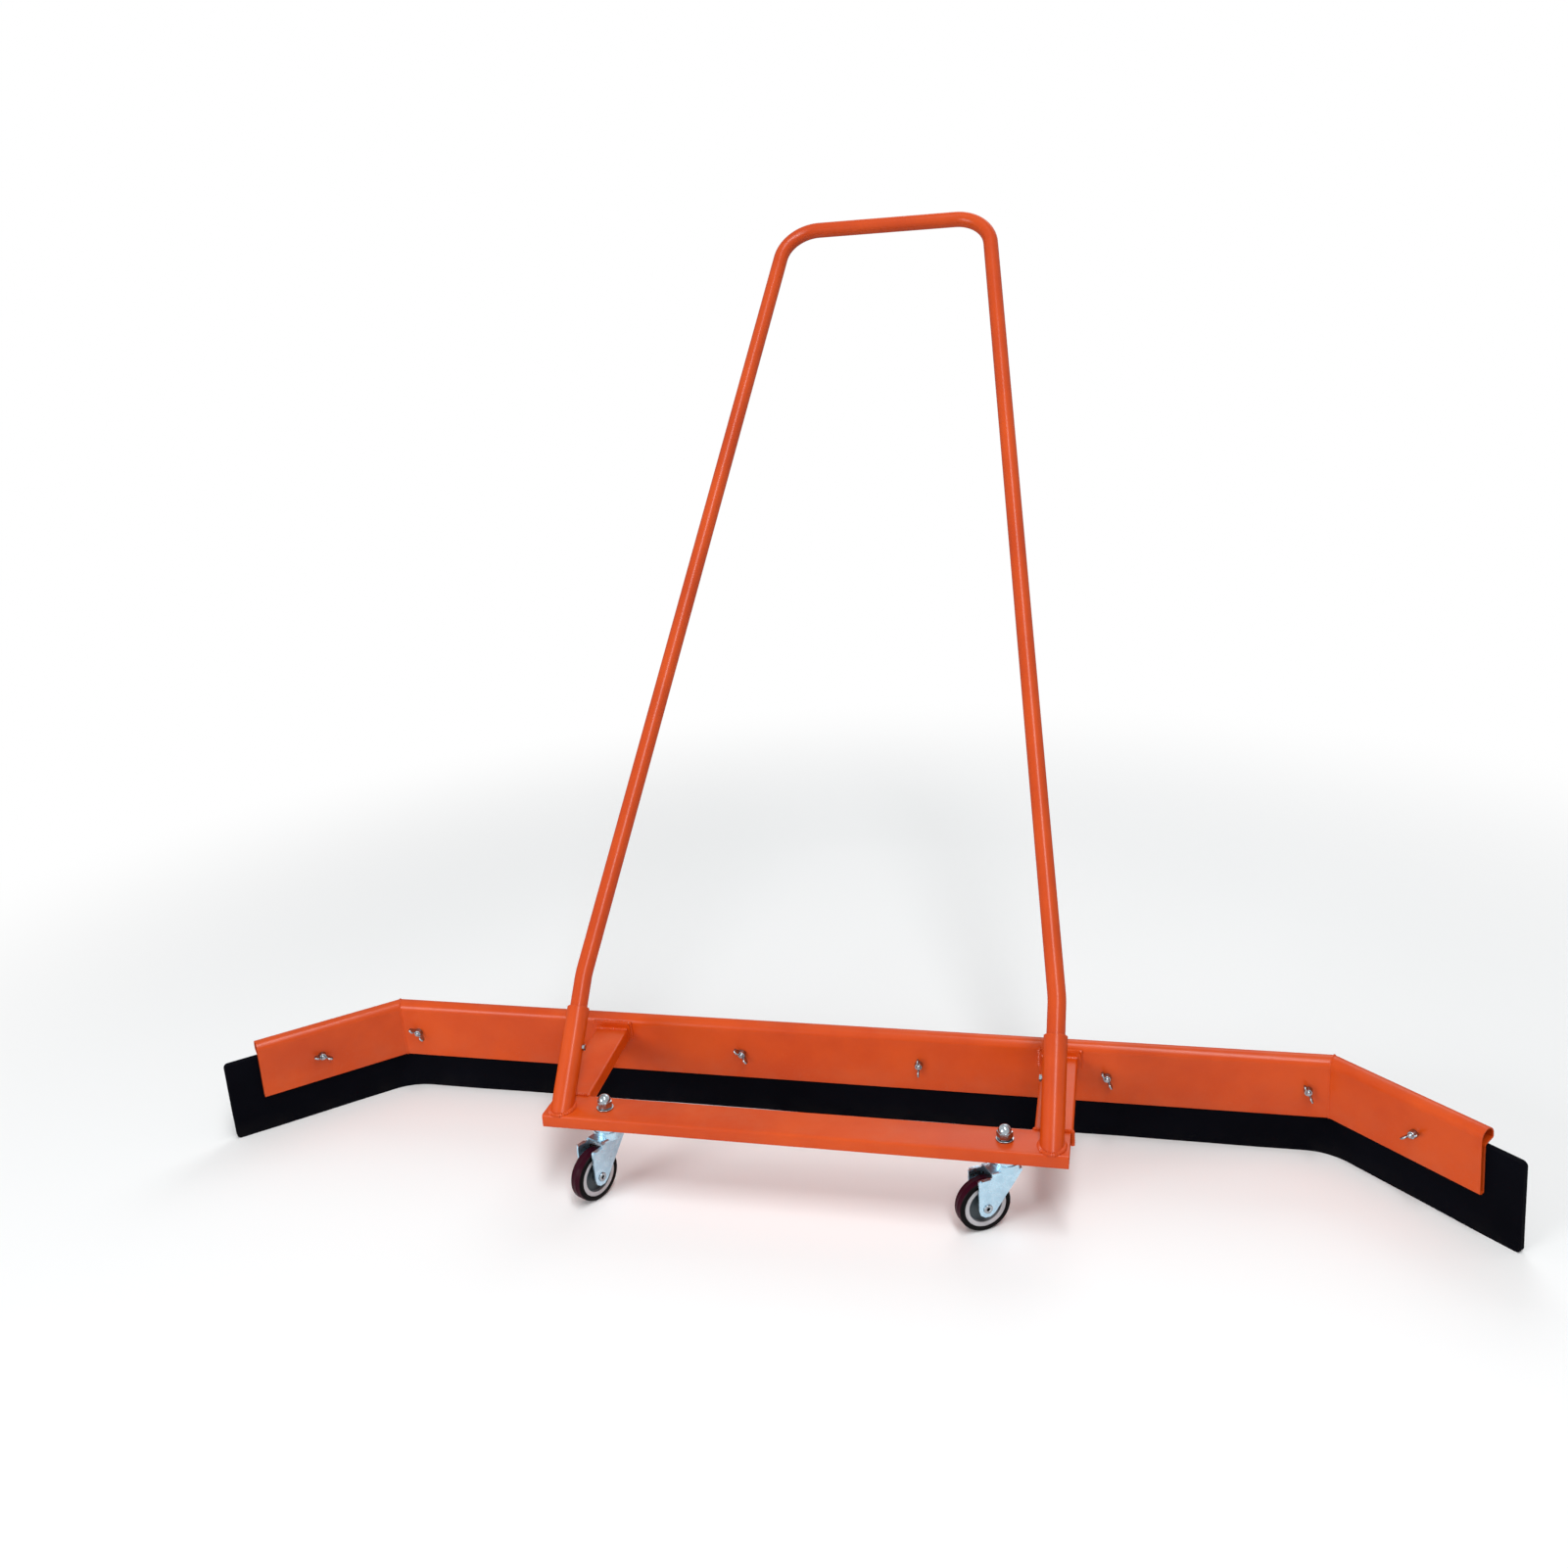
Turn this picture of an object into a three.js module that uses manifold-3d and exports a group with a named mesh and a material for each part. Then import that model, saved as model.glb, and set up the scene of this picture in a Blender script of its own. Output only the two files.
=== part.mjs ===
// A court squeegee: a long rubber blade with two wings swept forward, bolted behind a folded steel
// holder, carried by a welded frame on two swivel casters and pushed by a leaning tube handle.
// Millimetres and degrees, +Z up. +X runs along the blade, and the blade travels towards -Y.
import * as THREE from 'three';
import { mergeVertices } from 'three/addons/utils/BufferGeometryUtils.js';
import Module from 'manifold-3d';

const wasm = await Module();
wasm.setup();

// Fits that several pieces share
const fitGap = 0.3;
const overrun = 6;
const mergeDistance = 1e-4;

// Holder
const centreLength = 1436;
const wingLength = 235;
const wingAngle = 45;
const bladeRake = 6;
const holderClearance = 65;
const holderHeight = 97;
const holderSheet = 2;
const holderEdgeRadius = 3;
const doubleWallDepth = 9;
const beadDepth = 18;
const beadHeight = 25;
const beadUndersideRise = 5;

// Rubber blade
const rubberThickness = 8;
const rubberOverhang = 50;
const rubberCornerRadius = 12;
const rubberWrapRadius = 1.5;
const rubberLowerBendRadius = 80;
const rubberTopClearance = 1.6;

// Blade clamps
const innerClampSpread = 272;
const clampPastLeg = 66.5;
const clampBeforeBend = 38;
const wingClampOffset = 142;
const clampHeight = 46;
const clampBoltRadius = 3;
const clampHeadWidth = 10;
const clampHeadHeight = 4;
const clampWasherRadius = 9;
const clampWasherThickness = 1.6;
const clampBoltProtrusion = 3;
const wingNutBaseRadius = 6.4;
const wingNutTopRadius = 5.2;
const wingNutBossHeight = 7;
const wingNutSpan = 30;
const wingNutHeight = 14;
const wingNutWingLift = 1.2;
const wingNutWingThickness = 3;
const wingNutTipWidth = 8;
const wingNutTipRadius = 3.5;

// Cross bar and arms
const barPastLeg = 22.5;
const barDepth = 60;
const barHeight = 20;
const barWall = 2;
const barCornerRadius = 3.5;
const barFrontDistance = 262;
const armWidth = 50;
const armWall = 2;
const armCornerRadius = 3;
const armRise = 16;
const plateWidth = 58;
const plateThickness = 4;
const plateRise = 9;
const plateCornerRadius = 5;

// Handle and its sleeves
const legSpread = 683;
const legLean = 40;
const footFromBarFront = 22;
const sleeveRadius = 16;
const sleeveWall = 3;
const sleeveLength = 145;
const tubeRadius = 12.5;
const tubeWall = 1.2;
const tubeInsertion = 125;
const handleSlopeLength = 1565;
const handleTopWidth = 358;
const handleKneeAboveSleeve = 50;
const handleKneeRadius = 150;
const handleCornerRadius = 65;
const lockBoltBelowSleeveTop = 58;
const lockBoltRadius = 2.5;
const lockHeadWidth = 8;
const lockHeadHeight = 3.5;
const lockBoltPastWall = 4;

// Casters
const casterInsideLeg = 61.5;
const casterHeight = 105;
const casterTrail = 34;
const wheelRadius = 37.5;
const tyreWidth = 20;
const tyreThickness = 7;
const tyreShoulderRadius = 3.5;
const rimWidth = 18;
const rimThickness = 6.5;
const wheelWebThickness = 6;
const hubRadius = 9;
const hubSideClearance = 0.5;
const wheelSideClearance = 3.5;
const forkSheet = 2.5;
const forkBendRadius = 5;
const crownRadius = 20;
const crownRingHeight = 6.5;
const crownStep = 1.5;
const crownLipRadius = 2;
const cheekFrontReach = 17;
const cheekEndRadius = 13;
const earDrop = 5.5;
const earLength = 20;
const earFlange = 3;
const earCornerRadius = 3;
const raceRadius = 20.5;
const raceThickness = 3.5;
const raceEdge = 1;
const stemRadius = 6;
const stemRivetRadius = 9;
const stemRivetHeight = 2.5;
const axleRadius = 4;
const axleBoreRadius = 2.4;
const axleHeadRadius = 6.5;
const axleHeadHeight = 1.6;
const casterWasherRadius = 12;
const casterWasherThickness = 2;
const acornWidth = 19;
const acornHexHeight = 10;
const acornDomeRadius = 8.5;
const acornSocketDepth = 12;
const acornSocketClearance = 1;

// Turns at rest, in degrees: where each caster trails, and how each wing nut was left
const leftCasterTurn = 246;
const rightCasterTurn = 213;
const wingNutTurns = [-20, -42, -25, -50, 90, -60, -65, 35];

// Counts of sides and steps
const roundSides = 18;
const smallSides = 10;
const tubeSides = 16;
const wheelSides = 28;
const cornerSteps = 4;
const bendSteps = 6;
const kneeSteps = 2;
const domeSteps = 3;

// Colours and surfaces
const paint = { color: 0xd2521f, roughness: 0.42, metalness: 0.0 };
const zinc = { color: 0xc4ccd2, roughness: 0.3, metalness: 0.9 };
const bladeRubber = { color: 0x08090c, roughness: 0.75, metalness: 0.0 };
const tyreRubber = { color: 0x3c0f16, roughness: 0.35, metalness: 0.0 };
const wheelPlastic = { color: 0xb4b2b6, roughness: 0.5, metalness: 0.0 };

const radians = THREE.MathUtils.degToRad;
const rake = radians(bladeRake);
const lean = radians(legLean);
const sweep = radians(wingAngle);
const mitreSlope = Math.tan(sweep / 2);

// Places that follow from the sizes
const bendX = centreLength / 2;
const rubberFace = -rubberThickness / 2;
const holderBack = rubberFace - fitGap;
const holderFace = holderBack - doubleWallDepth;
const holderTop = holderClearance + holderHeight;
const clampV = holderClearance + clampHeight;
const barFrontY = -barFrontDistance;
const barBackY = barFrontY + barDepth;
const barBottomZ = casterHeight;
const barTopZ = barBottomZ + barHeight;
const legX = legSpread / 2;
const barEndX = legX + barPastLeg;
const footY = barFrontY + footFromBarFront;
const casterX = legX - casterInsideLeg;
const casterY = barFrontY + barDepth / 2;
const raceBottomZ = barBottomZ - fitGap - raceThickness;
const crownTopZ = raceBottomZ - fitGap;
const bridgeTopZ = crownTopZ - 2 * crownRingHeight;
const washerBottomZ = barTopZ + fitGap;
const acornBottomZ = washerBottomZ + casterWasherThickness + fitGap;

const group = new THREE.Group();

// Solids, and their cuts and joins

function toSolid(geometry) {
  const bare = geometry.clone();
  bare.deleteAttribute('normal');
  bare.deleteAttribute('uv');
  const merged = mergeVertices(bare, mergeDistance);
  return new wasm.Manifold(new wasm.Mesh({
    numProp: 3,
    vertProperties: new Float32Array(merged.attributes.position.array),
    triVerts: new Uint32Array(merged.index.array),
  }));
}

function toGeometry(solid) {
  const mesh = solid.getMesh();
  const geometry = new THREE.BufferGeometry();
  geometry.setAttribute('position', new THREE.BufferAttribute(new Float32Array(mesh.vertProperties), 3));
  geometry.setIndex(new THREE.BufferAttribute(new Uint32Array(mesh.triVerts), 1));
  return geometry;
}

function combine(operation, geometries) {
  const [first, ...others] = geometries.map(toSolid);
  return toGeometry(others.reduce((solid, other) => solid[operation](other), first));
}

function cut(geometry, ...tools) {
  return combine('subtract', [geometry, ...tools]);
}

function join(...geometries) {
  return combine('add', geometries);
}

function common(...geometries) {
  return combine('intersect', geometries);
}

// Adds one named piece to a parent, in the parent's frame
function addPiece(parent, name, geometry, finish) {
  geometry.computeVertexNormals();
  const mesh = new THREE.Mesh(geometry, new THREE.MeshStandardMaterial(finish));
  mesh.name = name;
  parent.add(mesh);
  return mesh;
}

// Outlines

function point(x, y) {
  return new THREE.Vector2(x, y);
}

// The headings of an outline's sides before and after one corner, and the turn between them
function cornerAt(corners, i) {
  const arrive = corners[i].clone().sub(corners[(i + corners.length - 1) % corners.length]).normalize();
  const leave = corners[(i + 1) % corners.length].clone().sub(corners[i]).normalize();
  return { arrive, leave, turn: Math.atan2(arrive.cross(leave), arrive.dot(leave)) };
}

function leftOf(direction) {
  return point(-direction.y, direction.x);
}

// The places and headings along the arc that rounds one corner of an outline
function arcAt(corners, i, radius, steps) {
  const { arrive, turn } = cornerAt(corners, i);
  const start = corners[i].clone().addScaledVector(arrive, -radius * Math.tan(Math.abs(turn) / 2));
  const centre = start.clone().addScaledVector(leftOf(arrive), Math.sign(turn) * radius);
  return Array.from({ length: steps + 1 }, (_, k) => ({
    place: start.clone().rotateAround(centre, turn * k / steps),
    heading: arrive.clone().rotateAround(point(0, 0), turn * k / steps),
  }));
}

// Rounds each corner of a closed outline by its own radius, and drops points that fall together
function roundCorners(corners, radii) {
  const outline = corners.flatMap((corner, i) => (
    radii[i] > 0 ? arcAt(corners, i, radii[i], cornerSteps).map(({ place }) => place) : [corner.clone()]
  ));
  return outline.filter((p, i) => p.distanceTo(outline[(i + 1) % outline.length]) > mergeDistance);
}

// Moves every side of an anticlockwise outline inwards by the same distance
function insetCorners(corners, distance) {
  return corners.map((corner, i) => {
    const { arrive, leave } = cornerAt(corners, i);
    const inward = leftOf(arrive).add(leftOf(leave));
    return corner.clone().addScaledVector(inward, 2 * distance / inward.lengthSq());
  });
}

// The bend radii inside a sheet: smaller by the wall where it turns in, larger where it turns out
function insetRadii(corners, radii, wall) {
  return radii.map((radius, i) => (
    cornerAt(corners, i).turn > 0 ? Math.max(radius - wall, 0) : radius + wall
  ));
}

// A closed section of folded or drawn sheet: the rounded outline with its inside left open
function hollowShape(corners, radii, wall) {
  const shape = new THREE.Shape(roundCorners(corners, radii));
  const inside = roundCorners(insetCorners(corners, wall), insetRadii(corners, radii, wall));
  shape.holes.push(new THREE.Path(inside));
  return shape;
}

function roundedShape(corners, radii) {
  return new THREE.Shape(roundCorners(corners, radii));
}

function rectangle(left, bottom, right, top) {
  return [point(left, bottom), point(right, bottom), point(right, top), point(left, top)];
}

// Bodies from outlines

function alongZ(shape, from, to) {
  const geometry = new THREE.ExtrudeGeometry(shape, { depth: to - from, bevelEnabled: false });
  return geometry.translate(0, 0, from);
}

// A (y, z) outline pushed along X
function alongX(shape, from, to) {
  const axes = new THREE.Matrix4().makeBasis(
    new THREE.Vector3(0, 1, 0),
    new THREE.Vector3(0, 0, 1),
    new THREE.Vector3(1, 0, 0),
  );
  return alongZ(shape, from, to).applyMatrix4(axes);
}

// An (x, z) outline pushed along Y
function alongY(shape, from, to) {
  return alongZ(shape, -to, -from).rotateX(Math.PI / 2);
}

// A body turned about +Z from a (radius, height) outline that closes on itself or on the axis
function turned(outline, sides = roundSides) {
  const profile = outline[0].x > 0 ? [...outline, outline[0]] : outline;
  return new THREE.LatheGeometry(profile, sides).rotateX(Math.PI / 2);
}

function rod(radius, from, to, sides = smallSides) {
  return turned([point(0, from), point(radius, from), point(radius, to), point(0, to)], sides);
}

function ring(innerRadius, outerRadius, from, to, sides = smallSides) {
  return turned(rectangle(innerRadius, from, outerRadius, to), sides);
}

function hexagon(acrossFlats, from, to) {
  return rod(acrossFlats / Math.sqrt(3), from, to, 6);
}

// The blade's raked section: u runs backwards through the blade and v up it

function fromSection(u, v) {
  return point(u * Math.cos(rake) - v * Math.sin(rake), u * Math.sin(rake) + v * Math.cos(rake));
}

// Turns a body made about +Z so that it points forwards out of the blade at one place
function toBladeFace(geometry, x, v) {
  const place = fromSection(0, v);
  return geometry.rotateX(Math.PI / 2 + rake).translate(x, place.x, place.y);
}

// Swings a body made along X from the bend forwards onto its wing
function toWing(geometry, side) {
  return geometry.rotateZ(-side * sweep).translate(side * bendX, 0, 0);
}

// Holder: one folded sheet, a deep double wall under a round bead that stands out behind. Its
// lengths are cut on the slant where they meet at the bends.

function holderLengthGeometry(from, to, slopeFrom, slopeTo) {
  const beadBack = holderFace + beadDepth;
  const underside = holderTop - beadHeight;
  const corners = [
    point(holderFace, holderClearance),
    point(holderBack, holderClearance),
    point(holderBack, underside),
    point(beadBack, underside + beadUndersideRise),
    point(beadBack, holderTop),
    point(holderFace, holderTop),
  ];
  const crown = beadDepth / 2;
  const edge = holderEdgeRadius;
  const section = hollowShape(corners, [edge, edge, edge / 2, edge, crown, crown], holderSheet);
  const geometry = alongX(section, 0, 1);
  const position = geometry.attributes.position;
  for (let i = 0; i < position.count; i += 1) {
    const place = fromSection(position.getY(i), position.getZ(i));
    const x = position.getX(i) > 0 ? to + place.x * slopeTo : from + place.x * slopeFrom;
    position.setXYZ(i, x, place.x, place.y);
  }
  return geometry;
}

// The eight clamps, from the left wing to the right wing
const innerX = innerClampSpread / 2;
const middleX = legX + clampPastLeg;
const outerX = bendX - clampBeforeBend;
const clamps = [
  { name: 'left_wing', side: -1, x: -wingClampOffset },
  { name: 'left_outer', side: 0, x: -outerX },
  { name: 'left_middle', side: 0, x: -middleX },
  { name: 'left_inner', side: 0, x: -innerX },
  { name: 'right_inner', side: 0, x: innerX },
  { name: 'right_middle', side: 0, x: middleX },
  { name: 'right_outer', side: 0, x: outerX },
  { name: 'right_wing', side: 1, x: wingClampOffset },
];

function toClamp(geometry, clamp) {
  const placed = toBladeFace(geometry, clamp.x, clampV);
  return clamp.side === 0 ? placed : toWing(placed, clamp.side);
}

function clampHoles(side) {
  const reach = beadDepth + overrun;
  return clamps
    .filter((clamp) => clamp.side === side)
    .map((clamp) => toClamp(rod(clampBoltRadius + fitGap, -reach, reach), clamp));
}

function buildHolder() {
  const half = fitGap / 2;
  const centre = holderLengthGeometry(half - bendX, bendX - half, -mitreSlope, mitreSlope);
  const left = toWing(holderLengthGeometry(-wingLength, -half, 0, mitreSlope), -1);
  const right = toWing(holderLengthGeometry(half, wingLength, -mitreSlope, 0), 1);
  addPiece(group, 'centre_holder', cut(centre, ...clampHoles(0)), paint);
  addPiece(group, 'left_wing_holder', cut(left, ...clampHoles(-1)), paint);
  addPiece(group, 'right_wing_holder', cut(right, ...clampHoles(1)), paint);
}

// Rubber blade: one strip, wrapped close round the holder's bends, easing to a soft bend at the ground

// Where the raked plane at depth u in the blade lies at one height
function depthAt(u, z) {
  return (u - z * Math.sin(rake)) / Math.cos(rake);
}

// One edge of the strip along its right half: round the bend, then to the end, where the lower edges
// lift round the corner and the upper edges drop round it
function rubberHalfLine({ u, z, radius, lift }) {
  const offset = depthAt(u, z);
  const bendStart = point(bendX + (offset - radius) * mitreSlope, offset);
  const bendCentre = point(bendStart.x, offset - radius);
  const bend = Array.from({ length: bendSteps + 1 }, (_, k) => {
    const place = bendStart.clone().rotateAround(bendCentre, -sweep * k / bendSteps);
    return new THREE.Vector3(place.x, place.y, z);
  });
  const end = Array.from({ length: cornerSteps + 1 }, (_, k) => {
    const turn = Math.PI / 2 * k / cornerSteps;
    const height = z + lift * rubberCornerRadius * (1 - Math.cos(turn));
    const reach = wingLength + rubberOverhang - rubberCornerRadius * (1 - Math.sin(turn));
    const place = point(reach, depthAt(u, height)).rotateAround(point(0, 0), -sweep);
    return new THREE.Vector3(bendX + place.x, place.y, height);
  });
  return [...bend, ...end];
}

// The strip's section has three corners up its front and three down its back. Each is carried from
// the left end to the right end, and the lines are skinned into one body.
function rubberStripGeometry() {
  const middleV = holderClearance - rubberTopClearance;
  const topV = holderTop - beadHeight - rubberTopClearance;
  const edgesAt = (u, bendRadius) => [
    { u, z: 0, radius: bendRadius(rubberLowerBendRadius), lift: 1 },
    { u, z: fromSection(u, middleV).y, radius: bendRadius(rubberWrapRadius), lift: 0 },
    { u, z: fromSection(u, topV).y, radius: bendRadius(rubberWrapRadius), lift: -1 },
  ];
  const front = edgesAt(rubberFace, (radius) => radius);
  const back = edgesAt(-rubberFace, (radius) => radius + rubberThickness);
  const lines = [...front, ...back.reverse()].map((edge) => {
    const half = rubberHalfLine(edge);
    return [...half.map((p) => new THREE.Vector3(-p.x, p.y, p.z)).reverse(), ...half];
  });
  const sides = lines.length;
  const stations = lines[0].length;
  const vertices = Array.from({ length: stations }, (_, i) => lines.flatMap((line) => line[i].toArray()));
  const triangles = [];
  for (let i = 0; i + 1 < stations; i += 1) {
    for (let j = 0; j < sides; j += 1) {
      const a = i * sides + j;
      const b = i * sides + (j + 1) % sides;
      triangles.push(a, a + sides, b, b, a + sides, b + sides);
    }
  }
  const last = (stations - 1) * sides;
  [[0, 1, 4], [0, 4, 5], [1, 2, 3], [1, 3, 4]].forEach(([a, b, c]) => {
    triangles.push(a, b, c, last + a, last + c, last + b);
  });
  const strip = new THREE.BufferGeometry();
  strip.setAttribute('position', new THREE.Float32BufferAttribute(vertices.flat(), 3));
  strip.setIndex(triangles);
  return strip;
}

function buildRubber() {
  const holes = [-1, 0, 1].flatMap(clampHoles);
  addPiece(group, 'rubber_blade', cut(rubberStripGeometry(), ...holes), bladeRubber);
}

// Clamps: a hexagon bolt from behind, a washer against the rubber and a wing nut on the face

function wingNutGeometry() {
  const boss = turned([
    point(0, 0),
    point(wingNutBaseRadius, 0),
    point(wingNutTopRadius, wingNutBossHeight),
    point(0, wingNutBossHeight),
  ], smallSides);
  const root = wingNutTopRadius / 2;
  const tip = wingNutSpan / 2;
  const corners = [
    point(root, wingNutWingLift),
    point(wingNutBaseRadius, wingNutWingLift),
    point(tip, wingNutHeight - wingNutTipWidth),
    point(tip, wingNutHeight),
    point(tip - wingNutTipWidth, wingNutHeight),
    point(root, wingNutBossHeight - fitGap),
  ];
  const round = wingNutTipRadius;
  const outline = roundedShape(corners, [0, 0, round, round, round, 0]);
  const wing = alongY(outline, -wingNutWingThickness / 2, wingNutWingThickness / 2);
  const opposite = wing.clone().rotateZ(Math.PI);
  const bore = rod(clampBoltRadius + fitGap, -overrun, wingNutHeight + overrun);
  return cut(join(boss, wing, opposite), bore);
}

function buildClamps() {
  const nutSeat = -holderFace + fitGap;
  const washerTop = rubberFace - fitGap;
  const washerBottom = washerTop - clampWasherThickness;
  const headTop = washerBottom - fitGap;
  const shankTop = nutSeat + wingNutBossHeight + clampBoltProtrusion;
  const bolt = join(
    hexagon(clampHeadWidth, headTop - clampHeadHeight, headTop),
    rod(clampBoltRadius, headTop - clampHeadHeight / 2, shankTop),
  );
  const washer = ring(clampBoltRadius + fitGap, clampWasherRadius, washerBottom, washerTop);
  const nut = wingNutGeometry();
  clamps.forEach((clamp, i) => {
    const turnedNut = nut.clone().rotateZ(radians(wingNutTurns[i])).translate(0, 0, nutSeat);
    addPiece(group, `${clamp.name}_clamp_bolt`, toClamp(bolt.clone(), clamp), zinc);
    addPiece(group, `${clamp.name}_clamp_washer`, toClamp(washer.clone(), clamp), zinc);
    addPiece(group, `${clamp.name}_wing_nut`, toClamp(turnedNut, clamp), zinc);
  });
}

// Cross bar: a flat tube, drilled for the caster stems

function buildBar() {
  const corners = rectangle(barFrontY, barBottomZ, barBackY, barTopZ);
  const section = hollowShape(corners, corners.map(() => barCornerRadius), barWall);
  const holes = [-1, 1].map((side) => (
    rod(stemRadius + fitGap, barBottomZ - overrun, barTopZ + overrun, roundSides)
      .translate(side * casterX, casterY, 0)
  ));
  addPiece(group, 'base_bar', cut(alongX(section, -barEndX, barEndX), ...holes), paint);
}

// Arms: a channel open below that rises backwards, welded to an upright plate that follows the
// holder's rake

function armGeometry() {
  const half = armWidth / 2;
  const inner = half - armWall;
  const ceiling = barTopZ - armWall;
  const innerRadius = armCornerRadius - armWall;
  const channel = roundedShape([
    point(-half, barBottomZ),
    point(-inner, barBottomZ),
    point(-inner, ceiling),
    point(inner, ceiling),
    point(inner, barBottomZ),
    point(half, barBottomZ),
    point(half, barTopZ),
    point(-half, barTopZ),
  ], [0, 0, innerRadius, innerRadius, 0, 0, armCornerRadius, armCornerRadius]);
  const plateFront = holderFace - fitGap - plateThickness;
  const start = barBackY + fitGap;
  const length = fromSection(plateFront + plateThickness / 2, armRise + barTopZ - barHeight / 2).x - start;
  const rising = new THREE.Matrix4().makeShear(0, 0, 0, armRise / length, 0, 0);
  const beam = alongY(channel, 0, length).applyMatrix4(rising).translate(0, start, 0);
  const plateCorners = rectangle(-plateWidth / 2, 0, plateWidth / 2, barHeight + plateRise);
  const plateOutline = roundedShape(plateCorners, [0, 0, plateCornerRadius, plateCornerRadius]);
  const plate = alongZ(plateOutline, -plateFront - plateThickness, -plateFront);
  const plateFootV = (barBottomZ + armRise - plateFront * Math.sin(rake)) / Math.cos(rake);
  return join(beam, toBladeFace(plate, 0, plateFootV));
}

function buildArms() {
  const arm = armGeometry();
  addPiece(group, 'left_arm', arm.clone().translate(-legX, 0, 0), paint);
  addPiece(group, 'right_arm', arm.clone().translate(legX, 0, 0), paint);
}

// Handle: one tube bent in the leaning plane, with its ends held in two sleeves by lock bolts

// Leans a body made about +Z backwards, and stands it on the cross bar at the legs' feet
function toLean(geometry, x) {
  return geometry.rotateX(-lean).translate(x, footY, barTopZ);
}

// A route whose sections fall on the ends of its straight runs and on the steps of its bends
class BentRoute extends THREE.Curve {
  constructor(stations) {
    super();
    this.stations = stations;
  }

  stationAt(share) {
    return this.stations[Math.round(share * (this.stations.length - 1))];
  }

  getPointAt(share) {
    return this.stationAt(share).place.clone();
  }

  getTangentAt(share) {
    return this.stationAt(share).heading.clone();
  }
}

// The handle's stations in its own plane, x across and z up the slope, from one end to the other
function handleRoute() {
  const top = handleTopWidth / 2;
  const knee = sleeveLength + handleKneeAboveSleeve;
  const end = sleeveLength - tubeInsertion;
  const corners = [
    point(-legX, end),
    point(-legX, knee),
    point(-top, handleSlopeLength),
    point(top, handleSlopeLength),
    point(legX, knee),
    point(legX, end),
  ];
  const knees = [1, 4].map((i) => arcAt(corners, i, handleKneeRadius, kneeSteps));
  const tops = [2, 3].flatMap((i) => arcAt(corners, i, handleCornerRadius, bendSteps));
  const up = point(0, 1);
  const stations = [
    { place: corners[0], heading: up },
    ...knees[0],
    ...tops,
    ...knees[1],
    { place: corners[corners.length - 1], heading: up.clone().negate() },
  ];
  return new BentRoute(stations.map(({ place, heading }) => ({
    place: new THREE.Vector3(place.x, 0, place.y),
    heading: new THREE.Vector3(heading.x, 0, heading.y),
  })));
}

function circlePoints(radius) {
  return Array.from({ length: tubeSides }, (_, i) => (
    point(radius, 0).rotateAround(point(0, 0), 2 * Math.PI * i / tubeSides)
  ));
}

function buildHandle() {
  const section = new THREE.Shape(circlePoints(tubeRadius));
  section.holes.push(new THREE.Path(circlePoints(tubeRadius - tubeWall)));
  const route = handleRoute();
  const tube = new THREE.ExtrudeGeometry(section, {
    steps: route.stations.length - 1,
    extrudePath: route,
    bevelEnabled: false,
  });
  addPiece(group, 'handle', cut(toLean(tube, 0), lockHole(-1), lockHole(1)), paint);
}

// Turns a body made about +Z to point inwards out of one leg, at the lock bolt's place on it
function toLock(geometry, side) {
  const along = sleeveLength - lockBoltBelowSleeveTop;
  return toLean(geometry.rotateY(-side * Math.PI / 2).translate(0, 0, along), side * legX);
}

function lockHole(side) {
  return toLock(rod(lockBoltRadius + fitGap, 0, sleeveRadius + overrun), side);
}

function buildSleeves() {
  const start = -sleeveRadius * Math.tan(lean) - overrun;
  const reach = sleeveLength + overrun;
  const below = alongZ(new THREE.Shape(rectangle(-reach, -reach, reach, reach)), -reach, fitGap);
  [{ name: 'left_sleeve', side: -1 }, { name: 'right_sleeve', side: 1 }].forEach(({ name, side }) => {
    const tube = ring(sleeveRadius - sleeveWall, sleeveRadius, start, sleeveLength, tubeSides);
    const floor = below.clone().translate(side * legX, footY, barTopZ);
    addPiece(group, name, cut(toLean(tube, side * legX), floor, lockHole(side)), paint);
  });
}

// Short bolts, whose heads are on the inner sides of the legs and whose ends lie inside the tube
function buildLockBolts() {
  const seat = sleeveRadius + fitGap;
  const tip = tubeRadius - tubeWall - lockBoltPastWall;
  const bolt = join(
    hexagon(lockHeadWidth, seat, seat + lockHeadHeight),
    rod(lockBoltRadius, tip, seat + lockHeadHeight / 2),
  );
  addPiece(group, 'left_lock_bolt', toLock(bolt.clone(), -1), zinc);
  addPiece(group, 'right_lock_bolt', toLock(bolt.clone(), 1), zinc);
}

// Casters: a stem hung under the cross bar, a swivelling fork and a wheel that trails behind the stem

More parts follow.
